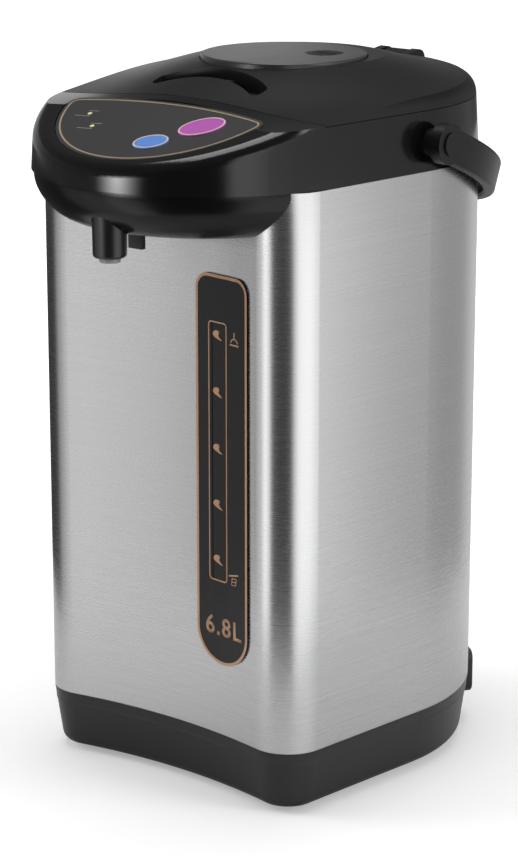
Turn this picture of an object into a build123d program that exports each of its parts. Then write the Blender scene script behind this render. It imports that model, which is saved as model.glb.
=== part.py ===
from build123d import *
import os
from math import atan, cos, degrees, radians, sin, sqrt

os.makedirs("parts", exist_ok=True)

# Electric thermo pot, about 6.8 litres. Millimetres, +Z up, the spout looks along -Y.
# y is measured from the axis of the round back of the body; pot_y moves it into the frame.

# ---- plan of the body and of the head
shell_radius = 107.6
side_taper = 5.8
nose_offset = shell_radius - 31.6
nose_radius = shell_radius - nose_offset * sin(radians(side_taper))
nose_tip_y = -nose_offset - nose_radius
front_mid_y = -shell_radius - 5.4
front_arc_radius = 340.0
corner_radius = 23.0

# ---- heights
foot_height = 2.5
joint_gap = 0.3
base_bottom_z = foot_height
shell_bottom_z = base_bottom_z + 35.4
shell_top_z = shell_bottom_z + 319.7
head_bottom_z = shell_top_z + joint_gap
lid_seam_z = head_bottom_z + 33.1

# ---- handle
handle_inner = shell_radius + 4.4
handle_thick = 7.0
handle_height = 20.0
handle_tilt = 22.0
pivot_y = -9.7
pivot_z = head_bottom_z + 15.5
pivot_radius = 4.0
running_fit = 0.05

pot_y = (-nose_tip_y - handle_inner - handle_thick) / 2

# ---- walls
steel_wall = 0.8
plastic_wall = 2.4

# ---- nose plane: it rises toward the lid
nose_slope = degrees(atan(0.35))
nose_plane_y = front_mid_y + 3.0
nose_plane_z = lid_seam_z + 3.15
nose_edge_radius = 9.0
fascia_tip_x = 71.0
fascia_tip_v = -1.5
fascia_rear_y = nose_plane_y + 7.0
fascia_front_y = nose_plane_y - 57.0
fascia_corner = 7.0

# ---- lid
lid_front_y = front_mid_y + 16.6
lid_front_sag = 5.8
lid_gap = 0.5
lid_lift = 0.4
lid_inset = 2.0
lid_rolls = [
    (0.0, 0.0), (1.0, 4.5), (3.2, 8.0), (6.6, 10.6), (12.0, 12.6), (22.0, 15.5), (50.0, 21.0)
]
dome_y = -9.3
dome_z = lid_seam_z + 21.8
dome_tilt = 2.5
dome_profile = [
    (0, 0.8), (48.5, 0), (66.0, -4.0), (85.0, -9.4), (105.0, -14.2), (125.0, -16.8), (190.0, -20.0)
]
hinge_y = shell_radius - 4.6
hinge_z = lid_seam_z + 8.5
hinge_pin_radius = 2.0
hinge_block_half = 14.5
hinge_slot_half = 9.0
tongue_half = 8.5

# ---- hand pump
disc_radius = 48.0
disc_top_z = dome_z + 1.4
disc_thick = 3.0
disc_skirt_z = disc_top_z - 22.2
well_radius = disc_radius + 0.6
recess_half = 39.0
recess_rear_y = dome_y - well_radius - 2.6
recess_front_y = recess_rear_y - 12.0
recess_rear_sag = 11.0
recess_front_sag = 12.5
recess_corner = 4.0
recess_floor_z = lid_seam_z + 8.0
vent_x = 20.0
vent_y = 3.0
vent_radius = 11.6

# ---- throat and inner pot
deck_z = head_bottom_z + 20.1
deck_thick = 3.0
pot_radius = shell_radius - 17.6
pot_wall = 0.8
pot_floor_z = shell_bottom_z + 34.1
pot_rim_z = deck_z - 26.0
throat_radius = pot_radius - 10.0
throat_wall = 6.0
plug_radius = throat_radius - 4.0
plug_bottom_z = deck_z - 18.0

# ---- gauge
gauge_x = 43.0
gauge_width = 41.0
gauge_low_z = shell_bottom_z + 43.1
gauge_high_z = shell_top_z - 50.6
gauge_plate = 1.2
window_plate = 0.9
label_gap = 0.05
gauge_top_radius = 9.0
gauge_low_radius = 20.3
window_x = 41.1
window_width = 12.4
window_low_z = gauge_low_z + 50.0
window_high_z = gauge_high_z - 27.0
tube_x = 41.0
tube_y = front_mid_y + 9.0
tube_radius = 6.0
tube_bore = 4.5
tube_low_z = pot_floor_z - 6.0
tube_high_z = pot_rim_z - 7.0

# ---- spout
nozzle_y = front_mid_y - 47.0
nozzle_radius = 9.8
nozzle_low_z = head_bottom_z - 39.3
nozzle_bore = 6.0
lever_y = nozzle_y + 22.0
lever_pivot_z = head_bottom_z - 18.9
lever_low_z = head_bottom_z - 37.9

# ---- pump and motor
pump_x = 30.0
pump_y = -50.0
pump_radius = 22.0
pump_top_z = pot_floor_z - 10.0
pump_low_z = pump_top_z - 22.0

# ---- inlet
inlet_angle = 51.0
inlet_z = 31.0
inlet_width = 34.0
inlet_height = 28.0
inlet_proud = 3.0


def level(z):
    return Plane(origin=(0, pot_y, z))


def side_plane(x):
    return Plane(origin=(x, pot_y, 0), x_dir=(0, 1, 0), z_dir=(1, 0, 0))


def front_plane(y):
    return Plane(origin=(0, pot_y + y, 0), x_dir=(1, 0, 0), z_dir=(0, -1, 0))


def nose_plane(depth):
    """Plane of the nose top, sunk by depth along its own normal."""
    turn = radians(nose_slope)
    centre = (0, pot_y + nose_plane_y + depth * sin(turn), nose_plane_z - depth * cos(turn))
    return Plane(origin=centre, x_dir=(1, 0, 0), z_dir=(0, -sin(turn), cos(turn)))


def nose_v(y):
    """Distance up the nose plane of a point at y."""
    return (y - nose_plane_y) / cos(radians(nose_slope))


def head_outline(inset):
    """Plan of the head, drawn in by inset: a back arc and a nose arc with tangent sides."""
    turn = radians(side_taper)
    back = shell_radius - inset
    nose = nose_radius - inset
    side_back = (back * cos(turn), -back * sin(turn))
    side_nose = (nose * cos(turn), -nose_offset - nose * sin(turn))
    with BuildSketch() as outline:
        with BuildLine():
            ThreePointArc(side_back, (0, back), (-side_back[0], side_back[1]))
            Line((-side_back[0], side_back[1]), (-side_nose[0], side_nose[1]))
            ThreePointArc((-side_nose[0], side_nose[1]), (0, -nose_offset - nose), side_nose)
            Line(side_nose, side_back)
        make_face()
    return outline.sketch


def body_outline(inset):
    """Plan of the body, drawn in by inset: round back, straight sides, hollow front."""
    turn = radians(side_taper)
    back = shell_radius - inset
    side_back = (back * cos(turn), -back * sin(turn))
    reach = front_arc_radius + inset
    rise = side_back[1] - front_mid_y + front_arc_radius
    half = side_back[0] * sin(turn) + rise * cos(turn)
    run = half - sqrt(half**2 - side_back[0] ** 2 - rise**2 + reach**2)
    corner = (side_back[0] - run * sin(turn), side_back[1] - run * cos(turn))
    with BuildSketch() as outline:
        with BuildLine():
            ThreePointArc(side_back, (0, back), (-side_back[0], side_back[1]))
            Line((-side_back[0], side_back[1]), (-corner[0], corner[1]))
            ThreePointArc((-corner[0], corner[1]), (0, front_mid_y + inset), corner)
            Line(corner, side_back)
        make_face()
        fillet(outline.vertices().sort_by(Axis.Y)[:2], corner_radius - inset)
    return outline.sketch


def behind_lid_front(gap):
    """Everything behind the lid's front edge, set back by gap."""
    half = 130.0
    far = 150.0
    with BuildSketch() as area:
        with BuildLine():
            ThreePointArc(
                (-half, lid_front_y + lid_front_sag + gap),
                (0, lid_front_y + gap),
                (half, lid_front_y + lid_front_sag + gap),
            )
            Polyline(
                (half, lid_front_y + lid_front_sag + gap),
                (half, far),
                (-half, far),
                (-half, lid_front_y + lid_front_sag + gap),
            )
        make_face()
    return area.sketch


def fascia_outline(inset):
    """Crescent of the control panel, in the plane of the nose top."""
    tip_x = fascia_tip_x - 1.4 * inset
    with BuildSketch() as outline:
        with BuildLine():
            ThreePointArc((-tip_x, fascia_tip_v), (0, nose_v(fascia_rear_y) - inset), (tip_x, fascia_tip_v))
            ThreePointArc((tip_x, fascia_tip_v), (0, nose_v(fascia_front_y) + inset), (-tip_x, fascia_tip_v))
        make_face()
        fillet(outline.vertices(), fascia_corner - inset)
    return outline.sketch


def crescent(grow):
    """Finger recess in the lid."""
    half = recess_half + grow
    rear = recess_rear_y + grow
    front = recess_front_y - grow
    with BuildSketch() as outline:
        with BuildLine():
            ThreePointArc((-half, rear - recess_rear_sag), (0, rear), (half, rear - recess_rear_sag))
            Line((half, rear - recess_rear_sag), (half, front - recess_front_sag))
            ThreePointArc(
                (half, front - recess_front_sag), (0, front), (-half, front - recess_front_sag)
            )
            Line((-half, front - recess_front_sag), (-half, rear - recess_rear_sag))
        make_face()
        fillet(outline.vertices(), recess_corner + grow)
    return outline.sketch


def gauge_outline():
    """Upright panel: small corners at the top, a round foot."""
    with BuildSketch() as outline:
        with Locations((gauge_x, (gauge_low_z + gauge_high_z) / 2)):
            Rectangle(gauge_width, gauge_high_z - gauge_low_z)
        fillet(outline.vertices().group_by(Axis.Y)[-1], gauge_top_radius)
        fillet(outline.vertices().group_by(Axis.Y)[0], gauge_low_radius)
    return outline.sketch


def dome_solid(inset):
    """Everything under the shallow dome that tops the lid and the back of the nose."""
    tilt = radians(dome_tilt)
    centre = (0, pot_y + dome_y + inset * sin(tilt), dome_z - inset * cos(tilt))
    with BuildPart() as dome:
        with BuildSketch(Plane(origin=centre, x_dir=(0, cos(tilt), sin(tilt)), z_dir=(1, 0, 0))):
            with BuildLine():
                Spline(*dome_profile)
                Polyline(dome_profile[-1], (dome_profile[-1][0], -90.0), (0, -90.0), dome_profile[0])
            make_face()
        revolve(axis=Axis(centre, (0, -sin(tilt), cos(tilt))))
    return dome.part


def lid_solid(inset):
    """Lid without its hollows, all faces moved in by inset."""
    seam = lid_seam_z + lid_lift
    with BuildPart() as body:
        for inward, up in lid_rolls:
            with BuildSketch(level(seam + up - inset)):
                add(head_outline(lid_inset + inset + inward))
        loft()
        add(dome_solid(inset), mode=Mode.INTERSECT)
        with BuildSketch(level(seam - 20.0)):
            add(behind_lid_front(inset))
        extrude(amount=60.0, mode=Mode.INTERSECT)
    return body.part


# ---------------------------------------------------------------- base
base_draw_in = 5.0
base_edge_radius = 6.0
cover_inset = 16.0
cover_ledge = 6.0
cover_thick = 2.0
spigot_low_z = shell_bottom_z - 7.9
spigot_height = 14.0
spigot_wall = 1.8
boss_radius = 4.0
boss_height = 8.0
screw_radius = 1.5
screw_length = 10.5
screw_head_radius = 3.2
screw_head_height = 1.4
foot_radius = 9.0
foot_edge_radius = 0.8
foot_stem_radius = 3.0
foot_stem_height = 1.8
motor_seat_radius = 15.0
motor_seat_bore = 11.0
motor_seat_height = 4.5
board_centre = (-35.0, 20.0)
board_length = 70.0
board_width = 50.0
board_thick = 1.6
board_post_radius = 3.0
board_post_height = 13.5
board_post_pitch = (60.0, 40.0)
slot_pitch = 6.0
slot_count = 9
slot_length = 34.0
slot_width = 2.6
inlet_corner = 6.0
inlet_edge_radius = 1.5
inlet_depth = 25.0
socket_width = 24.0
socket_height = 14.0
socket_depth = 18.0
socket_corner = 3.0
pin_pitch = 12.0
pin_radius = 1.8
pin_length = 18.0
foot_rear = (shell_radius - 63.6, shell_radius - 51.6)
foot_front = (shell_radius - 49.6, front_mid_y + 35.0)
screw_rear = (shell_radius - 46.6, shell_radius - 46.6)
screw_front = (shell_radius - 30.6, front_mid_y + 33.0)
foot_spots = [(side * x, y) for x, y in (foot_rear, foot_front) for side in (1, -1)]
screw_spots = [(side * x, y) for x, y in (screw_rear, screw_front) for side in (1, -1)]
cover_top_z = base_bottom_z + cover_thick
floor_top_z = cover_top_z + 2.5
inlet_turn = radians(inlet_angle)
inlet_plane = Plane(
    origin=(shell_radius * cos(inlet_turn), pot_y + shell_radius * sin(inlet_turn), inlet_z),
    x_dir=(-sin(inlet_turn), cos(inlet_turn), 0),
    z_dir=(cos(inlet_turn), sin(inlet_turn), 0),
)

with BuildPart() as base_housing:
    with BuildSketch(level(base_bottom_z)):
        add(body_outline(base_draw_in))
    with BuildSketch(level(shell_bottom_z - joint_gap)):
        add(body_outline(0))
    loft()
    fillet(base_housing.faces().sort_by(Axis.Z)[0].edges(), base_edge_radius)
    with BuildSketch(level(floor_top_z)):
        add(body_outline(base_draw_in + plastic_wall))
    with BuildSketch(level(shell_bottom_z - joint_gap)):
        add(body_outline(plastic_wall))
    loft(mode=Mode.SUBTRACT)
    with BuildSketch(level(base_bottom_z)):
        add(body_outline(cover_inset))
    extrude(amount=cover_top_z - base_bottom_z, mode=Mode.SUBTRACT)
    with BuildSketch(level(base_bottom_z)):
        add(body_outline(cover_inset + cover_ledge))
    extrude(amount=10.0, mode=Mode.SUBTRACT)
    # spigot that centres the steel shell
    with BuildSketch(level(spigot_low_z)):
        add(body_outline(steel_wall))
        add(body_outline(steel_wall + spigot_wall), mode=Mode.SUBTRACT)
    extrude(amount=spigot_height)
    with BuildSketch(level(floor_top_z)):
        with Locations(screw_spots):
            Circle(boss_radius)
    extrude(amount=boss_height)
    with BuildSketch(level(base_bottom_z)):
        with Locations(screw_spots):
            Circle(screw_radius)
    extrude(amount=screw_length, mode=Mode.SUBTRACT)
    with BuildSketch(inlet_plane.offset(-30.0)):
        RectangleRounded(inlet_width, inlet_height, inlet_corner)
    extrude(amount=40.0, mode=Mode.SUBTRACT)

with BuildPart() as base_cover:
    with BuildSketch(level(base_bottom_z)):
        add(body_outline(cover_inset + joint_gap))
    extrude(amount=cover_top_z - base_bottom_z)
    # motor seat
    with BuildSketch(level(cover_top_z)):
        with Locations((pump_x, pump_y)):
            Circle(motor_seat_radius)
            Circle(motor_seat_bore, mode=Mode.SUBTRACT)
    extrude(amount=motor_seat_height)
    # posts for the power board
    with BuildSketch(level(cover_top_z)):
        with Locations(board_centre):
            with GridLocations(*board_post_pitch, 2, 2):
                Circle(board_post_radius)
    extrude(amount=board_post_height)
    with BuildSketch(level(base_bottom_z)):
        with Locations(foot_spots):
            Circle(foot_stem_radius)
        with Locations(screw_spots):
            Circle(screw_radius + 0.2)
        with Locations((0, 35.0)):
            with GridLocations(slot_pitch, 0, slot_count, 1):
                SlotOverall(slot_length, slot_width, rotation=90)
    extrude(amount=cover_top_z - base_bottom_z, mode=Mode.SUBTRACT)
    with BuildSketch(level(base_bottom_z)):
        with Locations(screw_spots):
            Circle(screw_head_radius + 0.2)
    extrude(amount=screw_head_height, mode=Mode.SUBTRACT)

with BuildPart() as base_screws:
    with BuildSketch(level(base_bottom_z)):
        with Locations(screw_spots):
            Circle(screw_head_radius)
    extrude(amount=screw_head_height)
    with BuildSketch(level(base_bottom_z)):
        with Locations(screw_spots):
            Circle(screw_radius)
    extrude(amount=screw_length)

with BuildPart() as rubber_feet:
    with BuildSketch(level(0)):
        with Locations(foot_spots):
            Circle(foot_radius)
    extrude(amount=foot_height)
    fillet(rubber_feet.faces().filter_by(Axis.Z).sort_by(Axis.Z)[0:4].edges(), foot_edge_radius)
    with BuildSketch(level(foot_height)):
        with Locations(foot_spots):
            Circle(foot_stem_radius)
    extrude(amount=foot_stem_height)

with BuildPart() as power_inlet:
    with BuildSketch(inlet_plane.offset(-inlet_depth)):
        RectangleRounded(
            inlet_width - 2 * joint_gap, inlet_height - 2 * joint_gap, inlet_corner - joint_gap
        )
    extrude(amount=inlet_depth + inlet_proud)
    inlet_face = power_inlet.faces().sort_by(Axis(inlet_plane.origin, inlet_plane.z_dir))[-1]
    fillet(inlet_face.edges(), inlet_edge_radius)
    with BuildSketch(inlet_plane.offset(inlet_proud)):
        RectangleRounded(socket_width, socket_height, socket_corner)
    extrude(amount=-socket_depth, mode=Mode.SUBTRACT)
    with BuildSketch(inlet_plane.offset(-inlet_depth)):
        with GridLocations(pin_pitch, 0, 2, 1):
            Circle(pin_radius)
    extrude(amount=10.0, mode=Mode.SUBTRACT)

with BuildPart() as inlet_pins:
    with BuildSketch(inlet_plane.offset(1.0 - inlet_depth)):
        with GridLocations(pin_pitch, 0, 2, 1):
            Circle(pin_radius)
    extrude(amount=pin_length)

board_low_z = cover_top_z + board_post_height
with BuildPart() as power_board:
    with BuildSketch(level(board_low_z)):
        with Locations(board_centre):
            Rectangle(board_length, board_width)
    extrude(amount=board_thick)
    with BuildSketch(level(board_low_z + board_thick)):
        with Locations((-52.0, 20.0)):
            Rectangle(20.0, 24.0)
    extrude(amount=16.0)
    with BuildSketch(level(board_low_z + board_thick)):
        with Locations((-30.0, 32.0), (-30.0, 18.0)):
            Circle(5.0)
    extrude(amount=14.0)
    with BuildSketch(level(board_low_z + board_thick)):
        with Locations((-12.0, 20.0)):
            Rectangle(14.0, 18.0)
    extrude(amount=12.0)

# ---------------------------------------------------------------- body
window_corner = 2.0
with BuildPart() as outer_shell:
    with BuildSketch(level(shell_bottom_z)):
        add(body_outline(0))
        add(body_outline(steel_wall), mode=Mode.SUBTRACT)
    extrude(amount=shell_top_z - shell_bottom_z)
    with BuildSketch(front_plane(-90.0)):
        with Locations((window_x, (window_low_z + window_high_z) / 2)):
            RectangleRounded(window_width, window_high_z - window_low_z, window_corner)
    extrude(amount=40.0, mode=Mode.SUBTRACT)
    with BuildSketch(inlet_plane.offset(-30.0)):
        RectangleRounded(inlet_width, inlet_height, inlet_corner)
    extrude(amount=40.0, mode=Mode.SUBTRACT)

pot_bend = 20.0
pot_lip = 7.0
outlet_radius = 5.0
outlet_bore = 3.5
with BuildPart() as inner_pot:
    with BuildSketch(side_plane(0)):
        with BuildLine():
            Line((0, pot_floor_z), (pot_radius - pot_bend, pot_floor_z))
            RadiusArc(
                (pot_radius - pot_bend, pot_floor_z), (pot_radius, pot_floor_z + pot_bend), -pot_bend
            )
            Polyline(
                (pot_radius, pot_floor_z + pot_bend),
                (pot_radius, pot_rim_z),
                (pot_radius + pot_lip, pot_rim_z),
                (pot_radius + pot_lip, pot_rim_z - pot_wall),
                (pot_radius + pot_wall, pot_rim_z - pot_wall),
                (pot_radius + pot_wall, pot_floor_z + pot_bend),
            )
            RadiusArc(
                (pot_radius + pot_wall, pot_floor_z + pot_bend),
                (pot_radius - pot_bend, pot_floor_z - pot_wall),
                pot_bend + pot_wall,
            )
            Polyline(
                (pot_radius - pot_bend, pot_floor_z - pot_wall),
                (0, pot_floor_z - pot_wall),
                (0, pot_floor_z),
            )
        make_face()
    revolve(axis=Axis((0, pot_y, 0), (0, 0, 1)))
    with BuildSketch(level(pot_floor_z)):
        with Locations((pump_x, pump_y)):
            Circle(outlet_radius)
    extrude(amount=-5.5)
    with BuildSketch(level(pot_floor_z + 1.0)):
        with Locations((pump_x, pump_y)):
            Circle(outlet_bore)
    extrude(amount=-8.0, mode=Mode.SUBTRACT)

heater_radius = 44.0
heater_thick = 4.0
thermostat_radius = 9.0
thermostat_height = 10.0
thermostat_flange = 11.5
band_thick = 1.6
band_low_z = pot_floor_z + 24.0
band_height = 30.0
tab_spot = -36.0
with BuildPart() as boil_heater:
    with BuildSketch(level(pot_floor_z - pot_wall - heater_thick)):
        Circle(heater_radius)
        Circle(thermostat_flange + 0.5, mode=Mode.SUBTRACT)
    extrude(amount=heater_thick)
    with BuildSketch(level(pot_floor_z - pot_wall - heater_thick - 7.0)):
        with Locations((tab_spot, 4.0), (tab_spot, -4.0)):
            Rectangle(0.8, 6.0)
    extrude(amount=7.0)

with BuildPart() as keep_warm_band:
    with BuildSketch(level(band_low_z)):
        Circle(pot_radius + pot_wall + band_thick)
        Circle(pot_radius + pot_wall, mode=Mode.SUBTRACT)
    extrude(amount=band_height)
    with BuildSketch(level(band_low_z + 8.0)):
        with Locations((0, pot_radius + pot_wall + 4.0)):
            Rectangle(16.0, 6.0)
    extrude(amount=14.0)

with BuildPart() as thermostat:
    with BuildSketch(level(pot_floor_z - pot_wall - thermostat_height)):
        Circle(thermostat_radius)
    extrude(amount=thermostat_height)
    with BuildSketch(level(pot_floor_z - pot_wall - 6.0)):
        Circle(thermostat_flange)
    extrude(amount=2.0)

with BuildPart() as thermal_fuse:
    with BuildSketch(side_plane(-36.0)):
        with Locations((22.0, pot_floor_z - pot_wall - 7.0)):
            Circle(3.0)
    extrude(amount=24.0)

with BuildPart() as gauge_panel:
    with BuildSketch(level(gauge_low_z)):
        add(body_outline(-gauge_plate))
        add(body_outline(-label_gap), mode=Mode.SUBTRACT)
    extrude(amount=gauge_high_z - gauge_low_z)
    with BuildSketch(front_plane(-90.0)):
        add(gauge_outline())
        with Locations((window_x, (window_low_z + window_high_z) / 2)):
            RectangleRounded(
                window_width, window_high_z - window_low_z, window_corner, mode=Mode.SUBTRACT
            )
    extrude(amount=40.0, mode=Mode.INTERSECT)

with BuildPart() as gauge_window:
    with BuildSketch(level(gauge_low_z)):
        add(body_outline(-window_plate))
        add(body_outline(-label_gap), mode=Mode.SUBTRACT)
    extrude(amount=gauge_high_z - gauge_low_z)
    with BuildSketch(front_plane(-90.0)):
        with Locations((window_x, (window_low_z + window_high_z) / 2)):
            RectangleRounded(window_width, window_high_z - window_low_z, window_corner)
    extrude(amount=40.0, mode=Mode.INTERSECT)

with BuildPart() as gauge_tube:
    with BuildSketch(level(tube_low_z)):
        with Locations((tube_x, tube_y)):
            Circle(tube_radius)
            Circle(tube_bore, mode=Mode.SUBTRACT)
    extrude(amount=tube_high_z - tube_low_z)

# ---------------------------------------------------------------- pump and pipes
chamber_z = pump_low_z + 8.5
outlet_z = pump_low_z + 13.5
outlet_turn = atan((tube_x - pump_x) / (pump_y - tube_y))
outlet_plane = Plane(
    origin=(pump_x, pot_y + pump_y, outlet_z),
    x_dir=(cos(outlet_turn), sin(outlet_turn), 0),
    z_dir=(sin(outlet_turn), -cos(outlet_turn), 0),
)

chamber_radius = 18.0
chamber_height = 10.5
neck_radius = 5.0
neck_bore = 3.5
outlet_pipe_bore = 3.3
outlet_pipe_length = 32.0
magnet_well_radius = 16.5
magnet_well_depth = 6.0
shell_under_pump = 2.0
impeller_pin_radius = 1.5
with BuildPart() as pump_housing:
    with BuildSketch(level(pump_low_z - shell_under_pump)):
        with Locations((pump_x, pump_y)):
            Circle(pump_radius)
    extrude(amount=pump_top_z - pump_low_z + shell_under_pump)
    with BuildSketch(level(pump_low_z)):
        with Locations((pump_x, pump_y)):
            Circle(neck_radius)
    extrude(amount=pump_top_z - pump_low_z + 3.7)
    with BuildSketch(outlet_plane):
        Circle(tube_bore)
    extrude(amount=outlet_pipe_length)
    with BuildSketch(outlet_plane):
        Circle(outlet_pipe_bore)
    extrude(amount=40.0, mode=Mode.SUBTRACT)
    with BuildSketch(level(pump_top_z - 4.0)):
        with Locations((pump_x, pump_y)):
            Circle(neck_bore)
    extrude(amount=20.0, mode=Mode.SUBTRACT)
    with BuildSketch(level(chamber_z)):
        with Locations((pump_x, pump_y)):
            Circle(chamber_radius)
    extrude(amount=chamber_height, mode=Mode.SUBTRACT)
    with BuildSketch(level(pump_low_z - shell_under_pump - 1.0)):
        with Locations((pump_x, pump_y)):
            Circle(magnet_well_radius)
    extrude(amount=magnet_well_depth + shell_under_pump + 1.0, mode=Mode.SUBTRACT)
    # pin the impeller turns on
    with BuildSketch(level(chamber_z - 1.0)):
        with Locations((pump_x, pump_y)):
            Circle(impeller_pin_radius)
    extrude(amount=9.0)

impeller_radius = 14.0
impeller_hub_radius = 4.0
vane_count = 6
vane_length = 10.0
vane_thick = 1.4
vane_height = 5.5
with BuildPart() as pump_impeller:
    with BuildSketch(level(chamber_z + 1.0)):
        with Locations((pump_x, pump_y)):
            Circle(impeller_radius)
    extrude(amount=vane_thick)
    with BuildSketch(level(chamber_z + 1.0)):
        with Locations((pump_x, pump_y)):
            Circle(impeller_hub_radius)
    extrude(amount=vane_height + 0.5)
    with BuildSketch(level(chamber_z + 1.0)):
        with Locations((pump_x, pump_y)):
            with PolarLocations(impeller_radius - 0.5 - vane_length / 2, vane_count):
                Rectangle(vane_length, vane_thick)
    extrude(amount=vane_height)
    with BuildSketch(level(chamber_z)):
        with Locations((pump_x, pump_y)):
            Circle(impeller_pin_radius + running_fit)
    extrude(amount=10.0, mode=Mode.SUBTRACT)

motor_radius = 18.0
motor_edge_radius = 2.0
shaft_radius = 1.6
shaft_length = 8.0
magnet_radius = 15.0
magnet_height = 4.5
motor_low_z = cover_top_z + motor_seat_height
motor_high_z = pump_low_z - shell_under_pump
with BuildPart() as pump_motor:
    with BuildSketch(level(motor_low_z)):
        with Locations((pump_x, pump_y)):
            Circle(motor_radius)
    extrude(amount=motor_high_z - motor_low_z)
    fillet(pump_motor.edges().sort_by(Axis.Z)[0], motor_edge_radius)
    with BuildSketch(level(pump_low_z - shaft_length)):
        with Locations((pump_x, pump_y)):
            Circle(shaft_radius + running_fit)
    extrude(amount=10.0, mode=Mode.SUBTRACT)

with BuildPart() as motor_rotor:
    with BuildSketch(level(pump_low_z - shaft_length + 0.5)):
        with Locations((pump_x, pump_y)):
            Circle(shaft_radius)
    extrude(amount=shaft_length)
    with BuildSketch(level(pump_low_z)):
        with Locations((pump_x, pump_y)):
            Circle(magnet_radius)
    extrude(amount=magnet_height)
    with BuildSketch(level(pump_low_z + magnet_height - 1.0)):
        with Locations((pump_x, pump_y)):
            with PolarLocations(9.5, 4):
                Circle(3.0)
    extrude(amount=2.0, mode=Mode.SUBTRACT)

drain_radius = 6.5
hose_bend = 8.0
with BuildPart() as drain_hose:
    with BuildSketch(level(pump_top_z)):
        with Locations((pump_x, pump_y)):
            Circle(drain_radius)
            Circle(neck_radius, mode=Mode.SUBTRACT)
    extrude(amount=pot_floor_z - pot_wall - pump_top_z)

hose_start = outlet_plane.origin + outlet_plane.z_dir * (pump_radius + joint_gap)
with BuildPart() as riser_hose:
    with BuildLine() as hose_run:
        FilletPolyline(
            hose_start,
            (tube_x, pot_y + tube_y, outlet_z),
            (tube_x, pot_y + tube_y, tube_low_z),
            radius=hose_bend,
        )
    with BuildSketch(outlet_plane.offset(pump_radius + joint_gap)):
        Circle(tube_radius)
        Circle(tube_bore, mode=Mode.SUBTRACT)
    sweep(path=hose_run.line)

spout_turn_z = head_bottom_z + 4.6
spout_pipe_radius = 4.0
spout_pipe_bore = 3.0
spout_pipe_bend = 7.0
spout_pipe_overlap = 6.0
spout_drop = 10.0
with BuildPart() as spout_pipe:
    with BuildLine() as pipe_run:
        FilletPolyline(
            (tube_x, pot_y + tube_y, tube_high_z - spout_pipe_overlap),
            (tube_x, pot_y + tube_y, spout_turn_z),
            (0, pot_y + nozzle_y, spout_turn_z),
            (0, pot_y + nozzle_y, spout_turn_z - spout_drop),
            radius=spout_pipe_bend,
        )
    with BuildSketch(level(tube_high_z - spout_pipe_overlap)):
        with Locations((tube_x, tube_y)):
            Circle(spout_pipe_radius)
            Circle(spout_pipe_bore, mode=Mode.SUBTRACT)
    sweep(path=pipe_run.line)

nozzle_top_z = head_bottom_z - 7.9
nozzle_edge_radius = 2.0
nozzle_tube_bore = 4.0
nozzle_tube_low_z = nozzle_low_z - 2.6
nozzle_tube_high_z = head_bottom_z - 2.9
with BuildPart() as nozzle_outer:
    with BuildSketch(level(nozzle_low_z)):
        with Locations((0, nozzle_y)):
            Circle(nozzle_radius - 0.4)
    with BuildSketch(level(nozzle_top_z)):
        with Locations((0, nozzle_y)):
            Circle(nozzle_radius)
    loft()
    fillet(nozzle_outer.edges().sort_by(Axis.Z)[0], nozzle_edge_radius)
    with BuildSketch(level(nozzle_low_z - 1.0)):
        with Locations((0, nozzle_y)):
            Circle(nozzle_bore)
    extrude(amount=40.0, mode=Mode.SUBTRACT)

with BuildPart() as nozzle_inner:
    with BuildSketch(level(nozzle_tube_low_z)):
        with Locations((0, nozzle_y)):
            Circle(nozzle_bore)
            Circle(nozzle_tube_bore, mode=Mode.SUBTRACT)
    extrude(amount=nozzle_tube_high_z - nozzle_tube_low_z)
    fillet(nozzle_inner.edges().sort_by(Axis.Z)[0:2], 0.6)

# ---------------------------------------------------------------- head
draft_top_z = head_bottom_z + 122.1
chin_rolls = [(1.5, 0.3), (3.0, 9.9), (8.0, 17.9), (15.0, 23.9), (23.0, 26.9)]
draft_rate = lid_inset / (lid_seam_z - head_bottom_z)


def nose_form(inset, edge):
    """Drafted head form cut by the nose plane, all faces moved in by inset."""
    with BuildPart() as form:
        with BuildSketch(level(head_bottom_z)):
            add(head_outline(inset))
        extrude(amount=draft_top_z - head_bottom_z, taper=degrees(atan(draft_rate)))
        with BuildSketch(nose_plane(inset)):
            Rectangle(600.0, 600.0)
        extrude(amount=200.0, mode=Mode.SUBTRACT)
        fillet(form.faces().sort_by(Axis.Z)[-1].edges(), edge)
        add(dome_solid(inset), mode=Mode.INTERSECT)
    return form.part


def chin_form(inset):
    """Rounded underside of the nose."""
    with BuildPart() as form:
        for inward, drop in chin_rolls:
            with BuildSketch(level(head_bottom_z - drop + inset)):
                add(head_outline(inward + inset))
        loft()
    return form.part


button_spots = [
    (17.0, nose_v(nose_plane_y - 35.0), 10.5, 8.0, 20.0),
    (35.4, nose_v(nose_plane_y - 14.0), 13.5, 10.0, 36.0),
]
lens_spots = [(-45.5, nose_v(nose_plane_y - 15.0)), (-33.0, nose_v(nose_plane_y - 27.0))]
board_posts = [(8.0, -8.0), (-36.0, -8.0), (42.0, -40.0), (-38.0, -43.0)]
fascia_depth = 0.6
fascia_bed = 1.6
lens_radius = 1.3
board_post_thick = 2.5
seat_x = shell_radius - 3.0
seat_radius = 8.0
board_depth = 9.4


def control_holes(clearance):
    """Button and lens openings in the plane of the nose top."""
    with BuildSketch() as holes:
        for u, v, half_long, half_short, turn in button_spots:
            with Locations(Location((u, v), turn)):
                Ellipse(half_long + clearance, half_short + clearance)
        with Locations(lens_spots):
            Circle(lens_radius)
    return holes.sketch


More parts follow.
